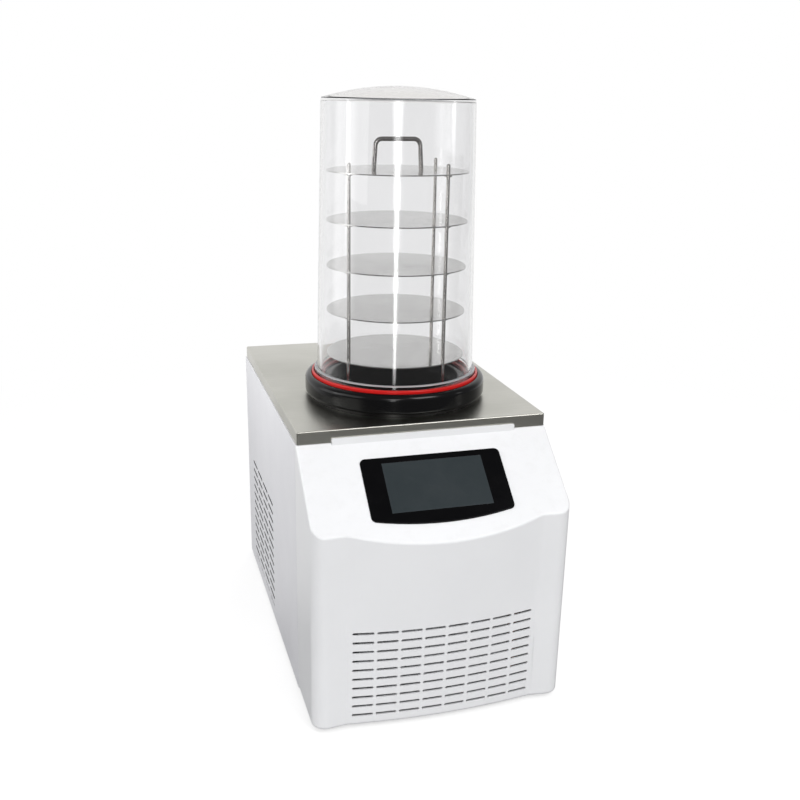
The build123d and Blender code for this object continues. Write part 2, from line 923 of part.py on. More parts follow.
# --------------------------------------------------------------------- vacuum line
def vacuum_pipe():
    """Straight pipe from the trap's wall to the port."""
    pipe = rearward(pipe_radius, axis_y + trap_radius / 2, rear_face - sheet, 0, port_height)
    pipe -= rearward(pipe_radius - pipe_wall, axis_y, rear_face + 1, 0, port_height)
    return pipe - upright(trap_radius + seat_gap, 0, top_height, 0, axis_y)


def vacuum_port():
    """Clamp-flange port on the rear panel, with its centring cone."""
    y0 = rear_face - sheet
    y1 = rear_face + port_length
    port = rearward(pipe_radius, y0, y1 - port_flange, 0, port_height)
    port += rearward(port_flange_radius, y1 - port_flange, y1, 0, port_height)
    cone = Cone(port_flange_radius, pipe_radius, port_cone * 2)
    port += Pos(0, y1 - port_flange - port_cone, port_height) * Rot(90, 0, 0) * cone
    port += rearward(pipe_radius + 6.0, rear_face, rear_face + 2.0, 0, port_height)
    return port - rearward(port_bore, y0 - 1, y1 + 1, 0, port_height)


def pressure_sensor():
    """Gauge head on a saddle over the vacuum pipe."""
    y = plate_front + sensor_at
    z = port_height + pipe_radius
    sensor = upright(sensor_radius, z - 4.0, z + sensor_height, 0, y)
    sensor += upright(sensor_radius - 2.0, z + sensor_height, z + sensor_height + 5.0, 0, y)
    return sensor - rearward(pipe_radius + seat_gap, y - 30, y + 30, 0, port_height)


# --------------------------------------------------------------------------- drain
def drain_pipe():
    """Drain from the trap's bottom to the rear panel."""
    points = [
        (0, axis_y, trap_bottom), (0, axis_y, drain_height),
        (0, rear_face - sheet, drain_height),
    ]
    return routed(points, drain_radius, drain_bend, drain_wall)


def drain_valve():
    """Valve block on the rear panel with a hose spigot pointing down."""
    y0 = rear_face
    y1 = rear_face + valve_depth
    half = valve_width / 2
    top = drain_height + valve_height / 2
    body = block(-half, half, y0, y1, top - valve_height, top)
    body = fillet(body.edges().filter_by(Axis.Y), 3.0)
    body += rearward(drain_radius, y0 - sheet, y0, 0, drain_height)
    spigot_y = y0 + valve_depth / 2
    low = top - valve_height
    tip = low - spigot_length
    points = [
        (0, low), (spigot_radius, low), (spigot_radius, tip + spigot_lead),
        (spigot_radius - spigot_lead, tip), (0, tip),
    ]
    body += turned(points, 0, spigot_y)
    body -= upright(spigot_bore, tip - 1, drain_height, 0, spigot_y)
    body -= rearward(drain_radius - drain_wall, y0 - cut_past, spigot_y, 0, drain_height)
    return body - rearward(lever_spindle + shaft_gap, y1 - 5.0, y1 + 1, 0, drain_height)


def drain_lever():
    """Quarter-turn lever with its spindle, at rest across the spigot (shut)."""
    y0 = rear_face + valve_depth + seat_gap
    lever = Pos(lever_length / 2 - lever_width / 2, 0, drain_height) * (
        Plane.XZ * SlotOverall(lever_length, lever_width)
    )
    lever = Pos(0, y0, 0) * extrude(lever, -lever_thick)
    lever += rearward(lever_spindle, y0 - 5.0, y0, 0, drain_height)
    return lever + rearward(lever_spindle + 2.5, y0, y0 + lever_thick + lever_hub, 0, drain_height)


def release_valve():
    """Body of the air-release valve through the rear panel, and its branch."""
    y0 = rear_face - 22.0
    body = rearward(release_radius, y0, rear_face + release_flange, release_x, port_height)
    body += rearward(
        release_flange_radius, rear_face, rear_face + release_flange, release_x, port_height
    )
    branch_y = y0 + 7.0
    branch = Rot(0, 90, 0) * Cylinder(4.0, release_x)
    body += Pos(release_x / 2, branch_y, port_height) * branch
    body -= rearward(pipe_radius + seat_gap, y0 - 40, rear_face + 40, 0, port_height)
    spindle = knob_spindle + shaft_gap
    return body - rearward(
        spindle, rear_face - 8.0, rear_face + release_flange + 1, release_x, port_height
    )


def release_knob():
    """Fluted knob with its spindle."""
    y0 = rear_face + release_flange + seat_gap
    knob = Cylinder(knob_radius, knob_height, align=(Align.CENTER, Align.CENTER, Align.MIN))
    knob = chamfer(knob.faces().sort_by(Axis.Z)[-1].edges(), 1.2)
    for i in range(knob_grips):
        turn = Rot(0, 0, i * 360 / knob_grips)
        knob -= turn * Pos(knob_radius + 0.6, 0, knob_height / 2) * Cylinder(1.6, knob_height + 2)
    knob += Pos(0, 0, -7.0) * Cylinder(
        knob_spindle, 7.0, align=(Align.CENTER, Align.CENTER, Align.MIN)
    )
    return Pos(release_x, y0, port_height) * Rot(-90, 0, 0) * knob


# ------------------------------------------------------------------- refrigeration
def compressor():
    """Hermetic compressor: drawn pot, foot plate and three stubs."""
    z0 = compressor_floor
    half = compressor_plate_size / 2
    plate = block(
        compressor_x - half, compressor_x + half,
        compressor_back - half, compressor_back + half, z0, z0 + compressor_plate,
    )
    plate = fillet(plate.edges().filter_by(Axis.Z), 12.0)
    holes = [
        upright(grommet_hole, z0 - cut_past, z0 + cut_past, x, y) for x, y in grommet_places()
    ]
    pot = upright(
        compressor_radius, z0 + compressor_plate, z0 + compressor_height,
        compressor_x, compressor_back,
    )
    pot = fillet(pot.faces().sort_by(Axis.Z)[-1].edges(), compressor_round)
    seam_low = z0 + compressor_seam
    seam = upright(
        compressor_radius + compressor_seam_stand, seam_low, seam_low + compressor_seam_height,
        compressor_x, compressor_back,
    )
    body = plate - holes + pot + seam
    for side, z in ((1, suction_z), (-1, discharge_z)):
        x = compressor_x + side * stub_offset
        body += rearward(line_radius + 1.2, stub_y, compressor_back - compressor_radius / 2, x, z)
    return body


def grommet_places():
    """Grommets under the compressor's foot plate."""
    reach = compressor_plate_size / 2 - 14.0
    return [
        (compressor_x + i * reach, compressor_back + j * reach)
        for i in (-1, 1)
        for j in (-1, 1)
    ]


def compressor_grommets():
    """Waisted rubber grommets between the pan and the compressor's feet."""
    waist = grommet_radius - 2.5
    mid = base_top + grommet_height / 2
    points = [
        (0, base_top), (grommet_radius, base_top), (waist, mid),
        (grommet_radius, compressor_floor), (0, compressor_floor),
    ]
    return [turned(points, x, y) for x, y in grommet_places()]


def terminal_box():
    """Terminal cover on the compressor's front."""
    y1 = compressor_back - compressor_radius + 14.0
    z0 = compressor_floor + 30.0
    half = terminal_width / 2
    box = block(
        compressor_x - half, compressor_x + half,
        y1 - terminal_depth - 14.0, y1, z0, z0 + terminal_height,
    )
    box = fillet(box.edges().filter_by(Axis.Z), 4.0)
    return box - upright(
        compressor_radius + seat_gap, 0, top_height, compressor_x, compressor_back
    )


def condenser():
    """Finned block with header tubes."""
    half = condenser_width / 2
    y0 = condenser_face
    y1 = condenser_back
    z0 = base_top
    z1 = base_top + condenser_height
    end = 2.0
    core = block(-half + end, half - end, y0 + fin_depth, y1 - fin_depth, z0, z1)
    pitch = (condenser_width - 2 * end) / fin_count
    for i in range(fin_count):
        x = -half + end + (i + 0.5) * pitch
        core += block(x - 0.5, x + 0.5, y0, y1, z0, z1)
    core += block(-half, -half + end, y0, y1, z0, z1)
    core += block(half - end, half, y0, y1, z0, z1)
    for i in range(condenser_tubes):
        tube = Rot(0, 90, 0) * Cylinder(condenser_tube_radius, 2 * tube_tip)
        core += Pos(0, tube_y, low_tube_z + i * tube_pitch) * tube
    return core


def fan_shroud():
    """Duct behind the condenser with a round fan opening."""
    half = condenser_width / 2
    z1 = base_top + condenser_height
    opening = fan_radius + fan_gap
    duct = block(-half, half, condenser_back, shroud_back, base_top, z1)
    duct -= block(
        -half + shroud_wall, half - shroud_wall,
        condenser_back - 1, shroud_back - shroud_wall,
        base_top + shroud_wall, z1 - shroud_wall,
    )
    return duct - rearward(opening, condenser_back, shroud_back + 1, 0, fan_z)


def fan_blade():
    """Fan: hub and pitched blades, turning about Y."""
    hub = rearward(fan_hub_radius, fan_y - fan_hub_depth / 2, fan_y + fan_hub_depth / 2, 0, fan_z)
    hub = fillet(hub.faces().sort_by(Axis.Y)[0].edges(), 4.0)
    root = fan_hub_radius - 3.0
    chord = 30.0
    blade = Pos((root + fan_radius) / 2, 0, 0) * Box(fan_radius - root, fan_blade_thick, chord)
    blade = fillet(blade.edges().filter_by(Axis.Y).sort_by(Axis.X)[-2:], 8.0)
    for i in range(fan_blades):
        turn = Rot(0, i * 360 / fan_blades, 0) * Rot(fan_pitch, 0, 0)
        hub += Pos(0, fan_y, fan_z) * turn * blade
    bore = motor_shaft + shaft_gap
    return hub - rearward(bore, fan_y - fan_hub_depth / 4, fan_y + fan_hub_depth, 0, fan_z)


def fan_motor():
    """Motor behind the shroud with its shaft in the hub."""
    motor = rearward(motor_radius, motor_y, motor_y + motor_depth, 0, fan_z)
    motor = fillet(motor.faces().sort_by(Axis.Y)[-1].edges(), 5.0)
    return motor + rearward(motor_shaft, fan_y, motor_y, 0, fan_z)


def fan_bracket():
    """Cross bracket that carries the motor on the shroud."""
    half = condenser_width / 2
    y0 = shroud_back
    y1 = motor_y
    bar = bracket_width / 2
    cross = block(-half, half, y1 - bracket_thick, y1, fan_z - bar, fan_z + bar)
    for side in (-1, 1):
        x0, x1 = sorted((side * half, side * (half - bracket_width)))
        cross += block(x0, x1, y0, y1, fan_z - bar, fan_z + bar)
    return cross - rearward(motor_shaft + 1.5, y0 - 1, y1 + 1, 0, fan_z)


def discharge_line():
    """Hot line along the left side, from the compressor to the condenser's top tube."""
    x = compressor_x - stub_offset
    points = [(x, stub_y, discharge_z), (x, tube_y, discharge_z), (-tube_tip, tube_y, discharge_z)]
    return routed(points, line_radius, line_bend)


def filter_drier():
    """Copper drier standing beside the condenser, fed from its lowest tube."""
    x = tube_tip + drier_radius
    neck = line_radius + 1.0
    z0 = low_tube_z + drier_radius
    z1 = z0 + drier_length
    points = [
        (0, low_tube_z - neck), (neck, low_tube_z - neck), (neck, z0 - 6.0), (drier_radius, z0),
        (drier_radius, z1), (liquid_radius + 1.0, z1 + 8.0), (liquid_radius + 1.0, z1 + 12.0),
        (0, z1 + 12.0),
    ]
    link = Rot(0, 90, 0) * Cylinder(line_radius, drier_radius)
    return turned(points, x, tube_y) + Pos(x - drier_radius / 2, tube_y, low_tube_z) * link


def liquid_line():
    """Thin line from the drier up and back to the evaporator inside its jacket."""
    x = tube_tip + drier_radius
    z0 = low_tube_z + drier_radius + drier_length + 12.0
    points = [
        (x, tube_y, z0), (x, tube_y, liquid_height), (liquid_x, tube_y, liquid_height),
        (liquid_x, axis_y, liquid_height),
    ]
    line = routed(points, liquid_radius, line_bend)
    return line - upright(jacket_radius + seat_gap, 0, top_height, 0, axis_y)


def suction_line():
    """Return line from the evaporator's jacket down to the compressor."""
    x = compressor_x + stub_offset
    y = axis_y + suction_reach
    points = [(x, stub_y, suction_z), (x, y, suction_z), (x, y, jacket_low - seat_gap)]
    return routed(points, line_radius, line_bend)


# ---------------------------------------------------------------------- electrics
def power_supply():
    """Power supply in a vented case on the pan."""
    y = plate_front + supply_y
    case = block(
        supply_x - supply_width / 2, supply_x + supply_width / 2,
        y - supply_depth / 2, y + supply_depth / 2, base_top, base_top + supply_height,
    )
    slot = extrude(SlotOverall(supply_slot, supply_slot_height), supply_slot_height)
    slot_z = base_top + supply_height - supply_slot_height / 2
    slots = [
        Pos(supply_x, y + (i - (supply_slots - 1) / 2) * supply_slot_pitch, slot_z) * slot
        for i in range(supply_slots)
    ]
    return case - slots


def control_board():
    """Controller on four posts on the pan, with its relays and plug blocks."""
    y = plate_front + board_y
    z = base_top + board_lift
    half_x = board_width / 2
    half_y = board_depth / 2
    board = block(board_x - half_x, board_x + half_x, y - half_y, y + half_y, z, z + board_thick)
    for i in (-1, 1):
        for j in (-1, 1):
            board += upright(
                board_post, base_top, z,
                board_x + i * (half_x - board_post_inset), y + j * (half_y - board_post_inset),
            )
    top = z + board_thick
    relay_back = y + half_y - relay_edge
    plug_front = y - half_y + plug_edge
    for i in range(relay_count):
        x = board_x + (i - (relay_count - 1) / 2) * relay_pitch
        board += block(
            x - relay_width / 2, x + relay_width / 2,
            relay_back - relay_depth, relay_back, top, top + relay_height,
        )
        board += block(
            x - plug_width / 2, x + plug_width / 2,
            plug_front, plug_front + plug_depth, top, top + plug_height,
        )
    chip = block(
        board_x - chip_width / 2, board_x + chip_width / 2,
        y - chip_depth / 2, y + chip_depth / 2, top, top + chip_height,
    )
    return board + chip


def socket_fitting(x):
    """Snap-in three-pin fitting, recessed, with a thin flange."""
    w = inlet_width / 2
    h = inlet_height / 2
    z = electric_height
    body = block(x - w, x + w, rear_face - inlet_depth, rear_face, z - h, z + h)
    flange = block(
        x - w - inlet_lip, x + w + inlet_lip, rear_face, rear_face + inlet_flange,
        z - h - inlet_lip, z + h + inlet_lip,
    )
    flange = fillet(flange.edges().filter_by(Axis.Y), inlet_lip)
    recess = block(
        x - w + inlet_wall, x + w - inlet_wall, rear_face - inlet_recess, rear_face + cut_past,
        z - h + inlet_wall, z + h - inlet_wall,
    )
    return body + flange - recess


def pins(x):
    """Three flat contacts of the inlet."""
    z = electric_height
    y0 = rear_face - inlet_recess
    made = []
    for dx, dz in ((-6.0, -3.0), (6.0, -3.0), (0.0, 3.5)):
        made.append(block(x + dx - 1, x + dx + 1, y0, y0 + 11.0, z + dz - 2, z + dz + 2))
    return made


def mains_inlet():
    """Appliance inlet with its three pins."""
    return socket_fitting(inlet_x) + pins(inlet_x)


def pump_socket():
    """Outlet for the vacuum pump's lead: a core with three slots in the recess."""
    w = inlet_width / 2 - 4.5
    h = inlet_height / 2 - 4.5
    z = electric_height
    core = block(
        socket_x - w, socket_x + w, rear_face - inlet_recess, rear_face, z - h, z + h
    )
    cuts = [Pos(0, 2.0, 0) * pin for pin in pins(socket_x)]
    return socket_fitting(socket_x) + (core - cuts)


def switch_housing():
    """Bezel and body of the power switch."""
    w = switch_width / 2
    h = switch_height / 2
    z = electric_height
    lip = 2.0
    body = block(switch_x - w, switch_x + w, rear_face - 20.0, rear_face, z - h, z + h)
    flange = block(
        switch_x - w - lip, switch_x + w + lip, rear_face, rear_face + 2.0,
        z - h - lip, z + h + lip,
    )
    flange = fillet(flange.edges().filter_by(Axis.Y), 1.5)
    well = block(
        switch_x - w + switch_wall, switch_x + w - switch_wall,
        rear_face - switch_well, rear_face + cut_past,
        z - h + switch_wall, z + h - switch_wall,
    )
    pin = Rot(0, 90, 0) * Cylinder(pin_radius, switch_width)
    pivot = Pos(switch_x, rear_face - pin_sink, z) * pin
    return body + flange - well + pivot


def power_rocker():
    """Rocker on its cross pin, at rest in the off position."""
    width = switch_width / 2 - switch_wall - seat_gap
    reach = switch_height / 2 - switch_wall - 3 * seat_gap
    outline = Polyline(
        (rocker_stand - rocker_dish, 0), (rocker_stand, reach), (-3.0, reach - 0.6),
        (-5.0, 0), (-3.0, 0.6 - reach), (rocker_stand, -reach), close=True,
    )
    rocker = extrude(Plane.YZ * make_face(outline), width, both=True)
    rocker -= Rot(0, 90, 0) * Cylinder(pin_radius + shaft_gap, switch_width)
    place = Pos(switch_x, rear_face - pin_sink, electric_height)
    return place * Rot(-rocker_tilt, 0, 0) * rocker


# ---------------------------------------------------------------------------- parts
def as_compound(made):
    """One shape from a piece or from several loose ones."""
    if isinstance(made, list):
        return Compound(children=[Part(solid.wrapped) for solid in made])
    return made


nodes = {
    "front_panel": front_panel(),
    "touch_panel": touch_panel(),
    "display": display(),
    "side_panel_left": side_panel(-1),
    "side_panel_right": side_panel(1),
    "rear_panel": rear_panel(),
    "base_pan": base_pan(),
    "base_screws": base_screws(),
    "top_plate": top_plate(),
    "rear_screws": rear_screws(),
    "seat_ring": seat_ring(),
    "seal_ring": seal_ring(),
    "bell_jar": bell_jar(),
    "rack_top_plate": shelf(carrier_top),
    "rack_handle": rack_handle(),
    "rack_collars": rack_collars(),
    "cold_trap": cold_trap(),
    "trap_floor": trap_floor(),
    "evaporator_coil": evaporator_coil(),
    "insulation_jacket": insulation_jacket(),
    "vacuum_pipe": vacuum_pipe(),
    "vacuum_port": vacuum_port(),
    "pressure_sensor": pressure_sensor(),
    "drain_pipe": drain_pipe(),
    "drain_valve": drain_valve(),
    "drain_lever": drain_lever(),
    "release_valve": release_valve(),
    "release_knob": release_knob(),
    "compressor": compressor(),
    "compressor_grommets": compressor_grommets(),
    "terminal_box": terminal_box(),
    "condenser": condenser(),
    "fan_shroud": fan_shroud(),
    "fan_blade": fan_blade(),
    "fan_motor": fan_motor(),
    "fan_bracket": fan_bracket(),
    "discharge_line": discharge_line(),
    "filter_drier": filter_drier(),
    "liquid_line": liquid_line(),
    "suction_line": suction_line(),
    "power_supply": power_supply(),
    "control_board": control_board(),
    "mains_inlet": mains_inlet(),
    "pump_socket": pump_socket(),
    "switch_housing": switch_housing(),
    "power_rocker": power_rocker(),
}
for number, top in enumerate(reversed(shelf_tops), 1):
    nodes[f"shelf_{number}"] = shelf(top)
for number, place in enumerate(rod_places, 1):
    nodes[f"rack_rod_{number}"] = rack_rod(place)
for name, place in zip(("front_left", "front_right", "rear_left", "rear_right"), foot_places()):
    nodes[f"foot_{name}"] = foot(place)

for name, shape in nodes.items():
    export_step(as_compound(shape), f"parts/{name}.step")
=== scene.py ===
"""Finishes, studio and camera for the bench-top freeze dryer.

Metres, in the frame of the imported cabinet: -Y is the front, +Z is up. The clear bell and
the rack's handle are made here, in place of the cabinet's own; every other node keeps its
shape and only gets its finish.
"""

import math

import bmesh
import bpy
from mathutils import Matrix, Vector


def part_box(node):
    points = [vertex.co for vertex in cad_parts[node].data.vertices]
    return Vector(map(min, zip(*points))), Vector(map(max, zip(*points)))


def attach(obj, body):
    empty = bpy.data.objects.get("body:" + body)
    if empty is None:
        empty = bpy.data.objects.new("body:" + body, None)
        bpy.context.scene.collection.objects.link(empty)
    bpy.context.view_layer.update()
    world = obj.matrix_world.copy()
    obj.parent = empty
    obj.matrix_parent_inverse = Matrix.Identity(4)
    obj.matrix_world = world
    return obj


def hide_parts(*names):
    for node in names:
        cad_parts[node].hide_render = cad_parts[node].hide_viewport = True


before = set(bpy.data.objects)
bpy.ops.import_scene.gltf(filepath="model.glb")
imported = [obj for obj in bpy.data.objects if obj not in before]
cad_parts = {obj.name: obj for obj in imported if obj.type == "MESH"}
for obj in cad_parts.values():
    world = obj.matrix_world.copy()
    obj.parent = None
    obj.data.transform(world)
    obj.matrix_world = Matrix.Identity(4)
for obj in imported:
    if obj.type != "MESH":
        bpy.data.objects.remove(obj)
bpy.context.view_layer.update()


# ------------------------------------------------------------------ objects and meshes
def placed(name, data):
    """New object in the scene for a mesh, lamp or camera."""
    item = bpy.data.objects.new(name, data)
    bpy.context.scene.collection.objects.link(item)
    return item


def meshed(name, mesh, material):
    """New object in the scene from a bmesh, which is used up."""
    data = bpy.data.meshes.new(name)
    mesh.to_mesh(data)
    mesh.free()
    data.materials.append(material)
    return placed(name, data)


# ---------------------------------------------------------------------------- camera
LENS = 44.21
SENSOR = 36.0
CAMERA_SIDE = -0.3824
CAMERA_AHEAD = 1.1624          # before the steel top's front edge
CAMERA_HEIGHT = 0.7914
CAMERA_TURN = math.radians(-16.64)
CAMERA_TILT = math.radians(17.29)
CAMERA_ROLL = math.radians(0.97)


def add_camera():
    """Camera at the viewer's place: turned about Z, tilted down, slightly rolled."""
    data = bpy.data.cameras.new("view")
    data.lens = LENS
    data.sensor_width = SENSOR
    camera = placed("view", data)
    upright = Matrix.Rotation(math.radians(90) - CAMERA_TILT, 4, "X")
    turn = Matrix.Rotation(CAMERA_TURN, 4, "Z")
    roll = Matrix.Rotation(CAMERA_ROLL, 4, "Z")
    steel_low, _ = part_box("top_plate")
    place = Matrix.Translation((CAMERA_SIDE, steel_low.y - CAMERA_AHEAD, CAMERA_HEIGHT))
    camera.matrix_world = place @ turn @ upright @ roll
    bpy.context.scene.camera = camera


# ------------------------------------------------------------------- node building
# Sockets of a colour mix by number, because a mix repeats their names for other kinds.
MIX_INPUTS = (0, 6, 7)
MIX_OUTPUT = 2


def feed(tree, socket, value):
    """Give a socket a value, or link another node's output to it."""
    if isinstance(value, bpy.types.NodeSocket):
        tree.links.new(value, socket)
    else:
        socket.default_value = value


def joined(tree, kind, settings=None, **sockets):
    """New node with its settings; sockets are keyed by name, with _ for a space."""
    node = tree.nodes.new(kind)
    for name, value in (settings or {}).items():
        setattr(node, name, value)
    for name, value in sockets.items():
        feed(tree, node.inputs[name.replace("_", " ")], value)
    return node


def math_node(tree, operation, first, second=0.0):
    """Result of one sum on values or sockets."""
    node = joined(tree, "ShaderNodeMath", {"operation": operation})
    feed(tree, node.inputs[0], first)
    feed(tree, node.inputs[1], second)
    return node.outputs["Value"]


def span(tree, value, low, high, to_low=0.0, to_high=1.0):
    """Value moved smoothly from one range to another."""
    node = joined(
        tree, "ShaderNodeMapRange", {"interpolation_type": "SMOOTHSTEP"},
        Value=value, From_Min=low, From_Max=high, To_Min=to_low, To_Max=to_high,
    )
    return node.outputs["Result"]


def blended(tree, share, first, second):
    """Mix of two colours."""
    node = joined(tree, "ShaderNodeMix", {"data_type": "RGBA"})
    for place, value in zip(MIX_INPUTS, (share, first, second)):
        feed(tree, node.inputs[place], value)
    return node.outputs[MIX_OUTPUT]


def noise(tree, place, scale, detail, roughness=0.5):
    """Cloud of greys between 0 and 1 at a place."""
    node = joined(
        tree, "ShaderNodeTexNoise", Vector=place, Scale=scale, Detail=detail, Roughness=roughness
    )
    return node.outputs["Fac"]


def here(tree):
    """Place on the object, in its own coordinates."""
    return joined(tree, "ShaderNodeTexCoord").outputs["Object"]


def group(name, inputs, outputs):
    """Empty effect group with its named sockets."""
    tree = bpy.data.node_groups.new(name, "ShaderNodeTree")
    for label, kind, value in inputs:
        socket = tree.interface.new_socket(label, in_out="INPUT", socket_type=kind)
        socket.default_value = value
    for label, kind in outputs:
        tree.interface.new_socket(label, in_out="OUTPUT", socket_type=kind)
    given = tree.nodes.new("NodeGroupInput").outputs
    result = tree.nodes.new("NodeGroupOutput").inputs
    return tree, given, result


# -------------------------------------------------------------------- effect groups
def cloudy_group():
    """Slow drift between two colours, as in pigment and paint."""
    tree, given, result = group(
        "cloudy",
        [
            ("Colour", "NodeSocketColor", (1, 1, 1, 1)),
            ("Second", "NodeSocketColor", (1, 1, 1, 1)),
            ("Scale", "NodeSocketFloat", 12.0),
        ],
        [("Colour", "NodeSocketColor")],
    )
    drift = noise(tree, here(tree), given["Scale"], detail=4.0, roughness=0.6)
    share = span(tree, drift, 0.3, 0.7)
    feed(tree, result["Colour"], blended(tree, share, given["Colour"], given["Second"]))
    return tree


def pebbled_group():
    """Fine moulded or sprayed texture: a height, and a roughness that drifts."""
    tree, given, result = group(
        "pebbled",
        [
            ("Scale", "NodeSocketFloat", 900.0),
            ("Smooth", "NodeSocketFloat", 0.3),
            ("Rough", "NodeSocketFloat", 0.4),
        ],
        [("Height", "NodeSocketFloat"), ("Roughness", "NodeSocketFloat")],
    )
    place = here(tree)
    fine = noise(tree, place, given["Scale"], detail=2.0)
    broad = noise(tree, place, 17.0, detail=5.0, roughness=0.65)
    feed(tree, result["Height"], fine)
    feed(tree, result["Roughness"], span(tree, broad, 0.25, 0.75, given["Smooth"], given["Rough"]))
    return tree


def brushed_group():
    """Long fine scratches: height, roughness and a colour share."""
    tree, given, result = group(
        "brushed",
        [
            ("Stretch", "NodeSocketVector", (1.0, 60.0, 60.0)),
            ("Scale", "NodeSocketFloat", 40.0),
            ("Smooth", "NodeSocketFloat", 0.2),
            ("Rough", "NodeSocketFloat", 0.35),
        ],
        [
            ("Height", "NodeSocketFloat"),
            ("Roughness", "NodeSocketFloat"),
            ("Share", "NodeSocketFloat"),
        ],
    )
    place = here(tree)
    drawn_out = joined(tree, "ShaderNodeMapping", Vector=place, Scale=given["Stretch"])
    along = drawn_out.outputs["Vector"]
    lines = noise(tree, along, given["Scale"], detail=6.0, roughness=0.7)
    smears = noise(tree, place, 9.0, detail=4.0)
    both = math_node(tree, "ADD", lines, smears)
    feed(tree, result["Height"], lines)
    feed(tree, result["Roughness"], span(tree, both, 0.7, 1.3, given["Smooth"], given["Rough"]))
    feed(tree, result["Share"], span(tree, both, 0.75, 1.25))
    return tree


def worn_group():
    """Softened edges: the rounded normal, and a rubbed-corner mask, also for painted edge
    highlights.
    """
    tree, given, result = group(
        "worn_and_sheened",
        [("Radius", "NodeSocketFloat", 0.0008), ("Wear", "NodeSocketFloat", 0.5)],
        [("Normal", "NodeSocketVector"), ("Mask", "NodeSocketFloat")],
    )
    soft = joined(tree, "ShaderNodeBevel", {"samples": 6}, Radius=given["Radius"])
    flat = joined(tree, "ShaderNodeNewGeometry")
    turn = joined(tree, "ShaderNodeVectorMath", {"operation": "DOT_PRODUCT"})
    feed(tree, turn.inputs[0], soft.outputs["Normal"])
    feed(tree, turn.inputs[1], flat.outputs["Normal"])
    edge = span(tree, turn.outputs["Value"], 0.99, 0.9)
    patches = noise(tree, here(tree), 70.0, detail=6.0, roughness=0.7)
    rubbed = span(tree, patches, 0.42, 0.62)
    both = math_node(tree, "MULTIPLY", edge, rubbed)
    feed(tree, result["Normal"], soft.outputs["Normal"])
    feed(tree, result["Mask"], math_node(tree, "MULTIPLY", both, given["Wear"]))
    return tree


def dusty_group():
    """Thin dust that settles on faces that look up."""
    tree, given, result = group(
        "dusty",
        [("Amount", "NodeSocketFloat", 0.2), ("Scale", "NodeSocketFloat", 60.0)],
        [("Mask", "NodeSocketFloat")],
    )
    surface = joined(tree, "ShaderNodeNewGeometry")
    parts = joined(tree, "ShaderNodeSeparateXYZ", Vector=surface.outputs["Normal"])
    upward = span(tree, parts.outputs["Z"], 0.2, 0.95)
    specks = noise(tree, here(tree), given["Scale"], detail=8.0, roughness=0.75)
    lying = math_node(tree, "MULTIPLY", upward, span(tree, specks, 0.45, 0.7))
    feed(tree, result["Mask"], math_node(tree, "MULTIPLY", lying, given["Amount"]))
    return tree


EFFECTS = {
    "cloudy": cloudy_group(),
    "pebbled": pebbled_group(),
    "brushed": brushed_group(),
    "worn_and_sheened": worn_group(),
    "dusty": dusty_group(),
}


def effect(tree, name, **sockets):
    """Outputs of an effect group placed in a material."""
    settings = {"node_tree": EFFECTS[name]}
    return joined(tree, "ShaderNodeGroup", settings, **sockets).outputs


# ------------------------------------------------------------------------ materials
DUST = (0.55, 0.54, 0.52)
# Near black painted shade on the walls of the side panels' vents.
CUT_SHADE = (0.01, 0.01, 0.01)
VENT_BORDER = 0.02             # plain edge round a side panel's vents
CUT_FACING = 0.5               # a wall's normal is less sideways than this
PAINT_CLOUDS = 9.0             # scale of the drift in coated and in clear surfaces
CLEAR_CLOUDS = 4.0
METAL_WEAR = 0.6
METAL_GLEAM = 1.2              # brightness of rubbed corners over the face's
SMEAR = 0.015                  # roughness that smears add to clear acrylic


def rgb(red, green, blue):
    """Opaque colour."""
    return (red, green, blue, 1.0)


def grey(tone):
    """Opaque colour of one tone."""
    return rgb(tone, tone, tone)


def plain_material(name, **constants):
    """Material with its shader's own settings; returns it, its tree and the shader."""
    material = bpy.data.materials.new(name)
    material.use_nodes = True
    tree = material.node_tree
    shader = tree.nodes["Principled BSDF"]
    for label, value in constants.items():
        shader.inputs[label.replace("_", " ")].default_value = value
    return material, tree, shader


def surfaced(tree, shader, colour, roughness, height, depth, normal):
    """Colour and roughness of a shader, with a bump over the softened normal."""
    bump = joined(
        tree, "ShaderNodeBump", Height=height, Distance=depth, Strength=1.0, Normal=normal
    )
    feed(tree, shader.inputs["Base Color"], colour)
    feed(tree, shader.inputs["Roughness"], roughness)
    feed(tree, shader.inputs["Normal"], bump.outputs["Normal"])


def coated(
    name, colour, second, smooth, rough, grain, depth, wear_colour, wear, radius, dust=0.1,
    **constants,
):
    """Painted or moulded surface: clouded colour, fine texture, rubbed edges partly a painted
    highlight, dust.
    """
    material, tree, shader = plain_material(name, **constants)
    clouds = effect(tree, "cloudy", Colour=rgb(*colour), Second=rgb(*second), Scale=PAINT_CLOUDS)
    texture = effect(tree, "pebbled", Scale=grain, Smooth=smooth, Rough=rough)
    edges = effect(tree, "worn_and_sheened", Radius=radius, Wear=wear)
    settled = effect(tree, "dusty", Amount=dust)
    # Rubbed edges take the wear colour; on the white paints this is also a painted highlight.
    worn_and_sheened = blended(tree, edges["Mask"], clouds["Colour"], rgb(*wear_colour))
    dusted = blended(tree, settled["Mask"], worn_and_sheened, rgb(*DUST))
    surfaced(tree, shader, dusted, texture["Roughness"], texture["Height"], depth, edges["Normal"])
    return material


def metallic(name, colour, second, smooth, rough, stretch, scale, depth, radius, **constants):
    """Bare metal: directional grain, drifting tone and softened edges."""
    material, tree, shader = plain_material(name, Metallic=1.0, **constants)
    grain = effect(tree, "brushed", Stretch=stretch, Scale=scale, Smooth=smooth, Rough=rough)
    edges = effect(tree, "worn_and_sheened", Radius=radius, Wear=METAL_WEAR)
    tone = blended(tree, grain["Share"], rgb(*colour), rgb(*second))
    rubbed = [min(1.0, METAL_GLEAM * part) for part in colour]
    bright = blended(tree, edges["Mask"], tone, rgb(*rubbed))
    surfaced(tree, shader, bright, grain["Roughness"], grain["Height"], depth, edges["Normal"])
    return material


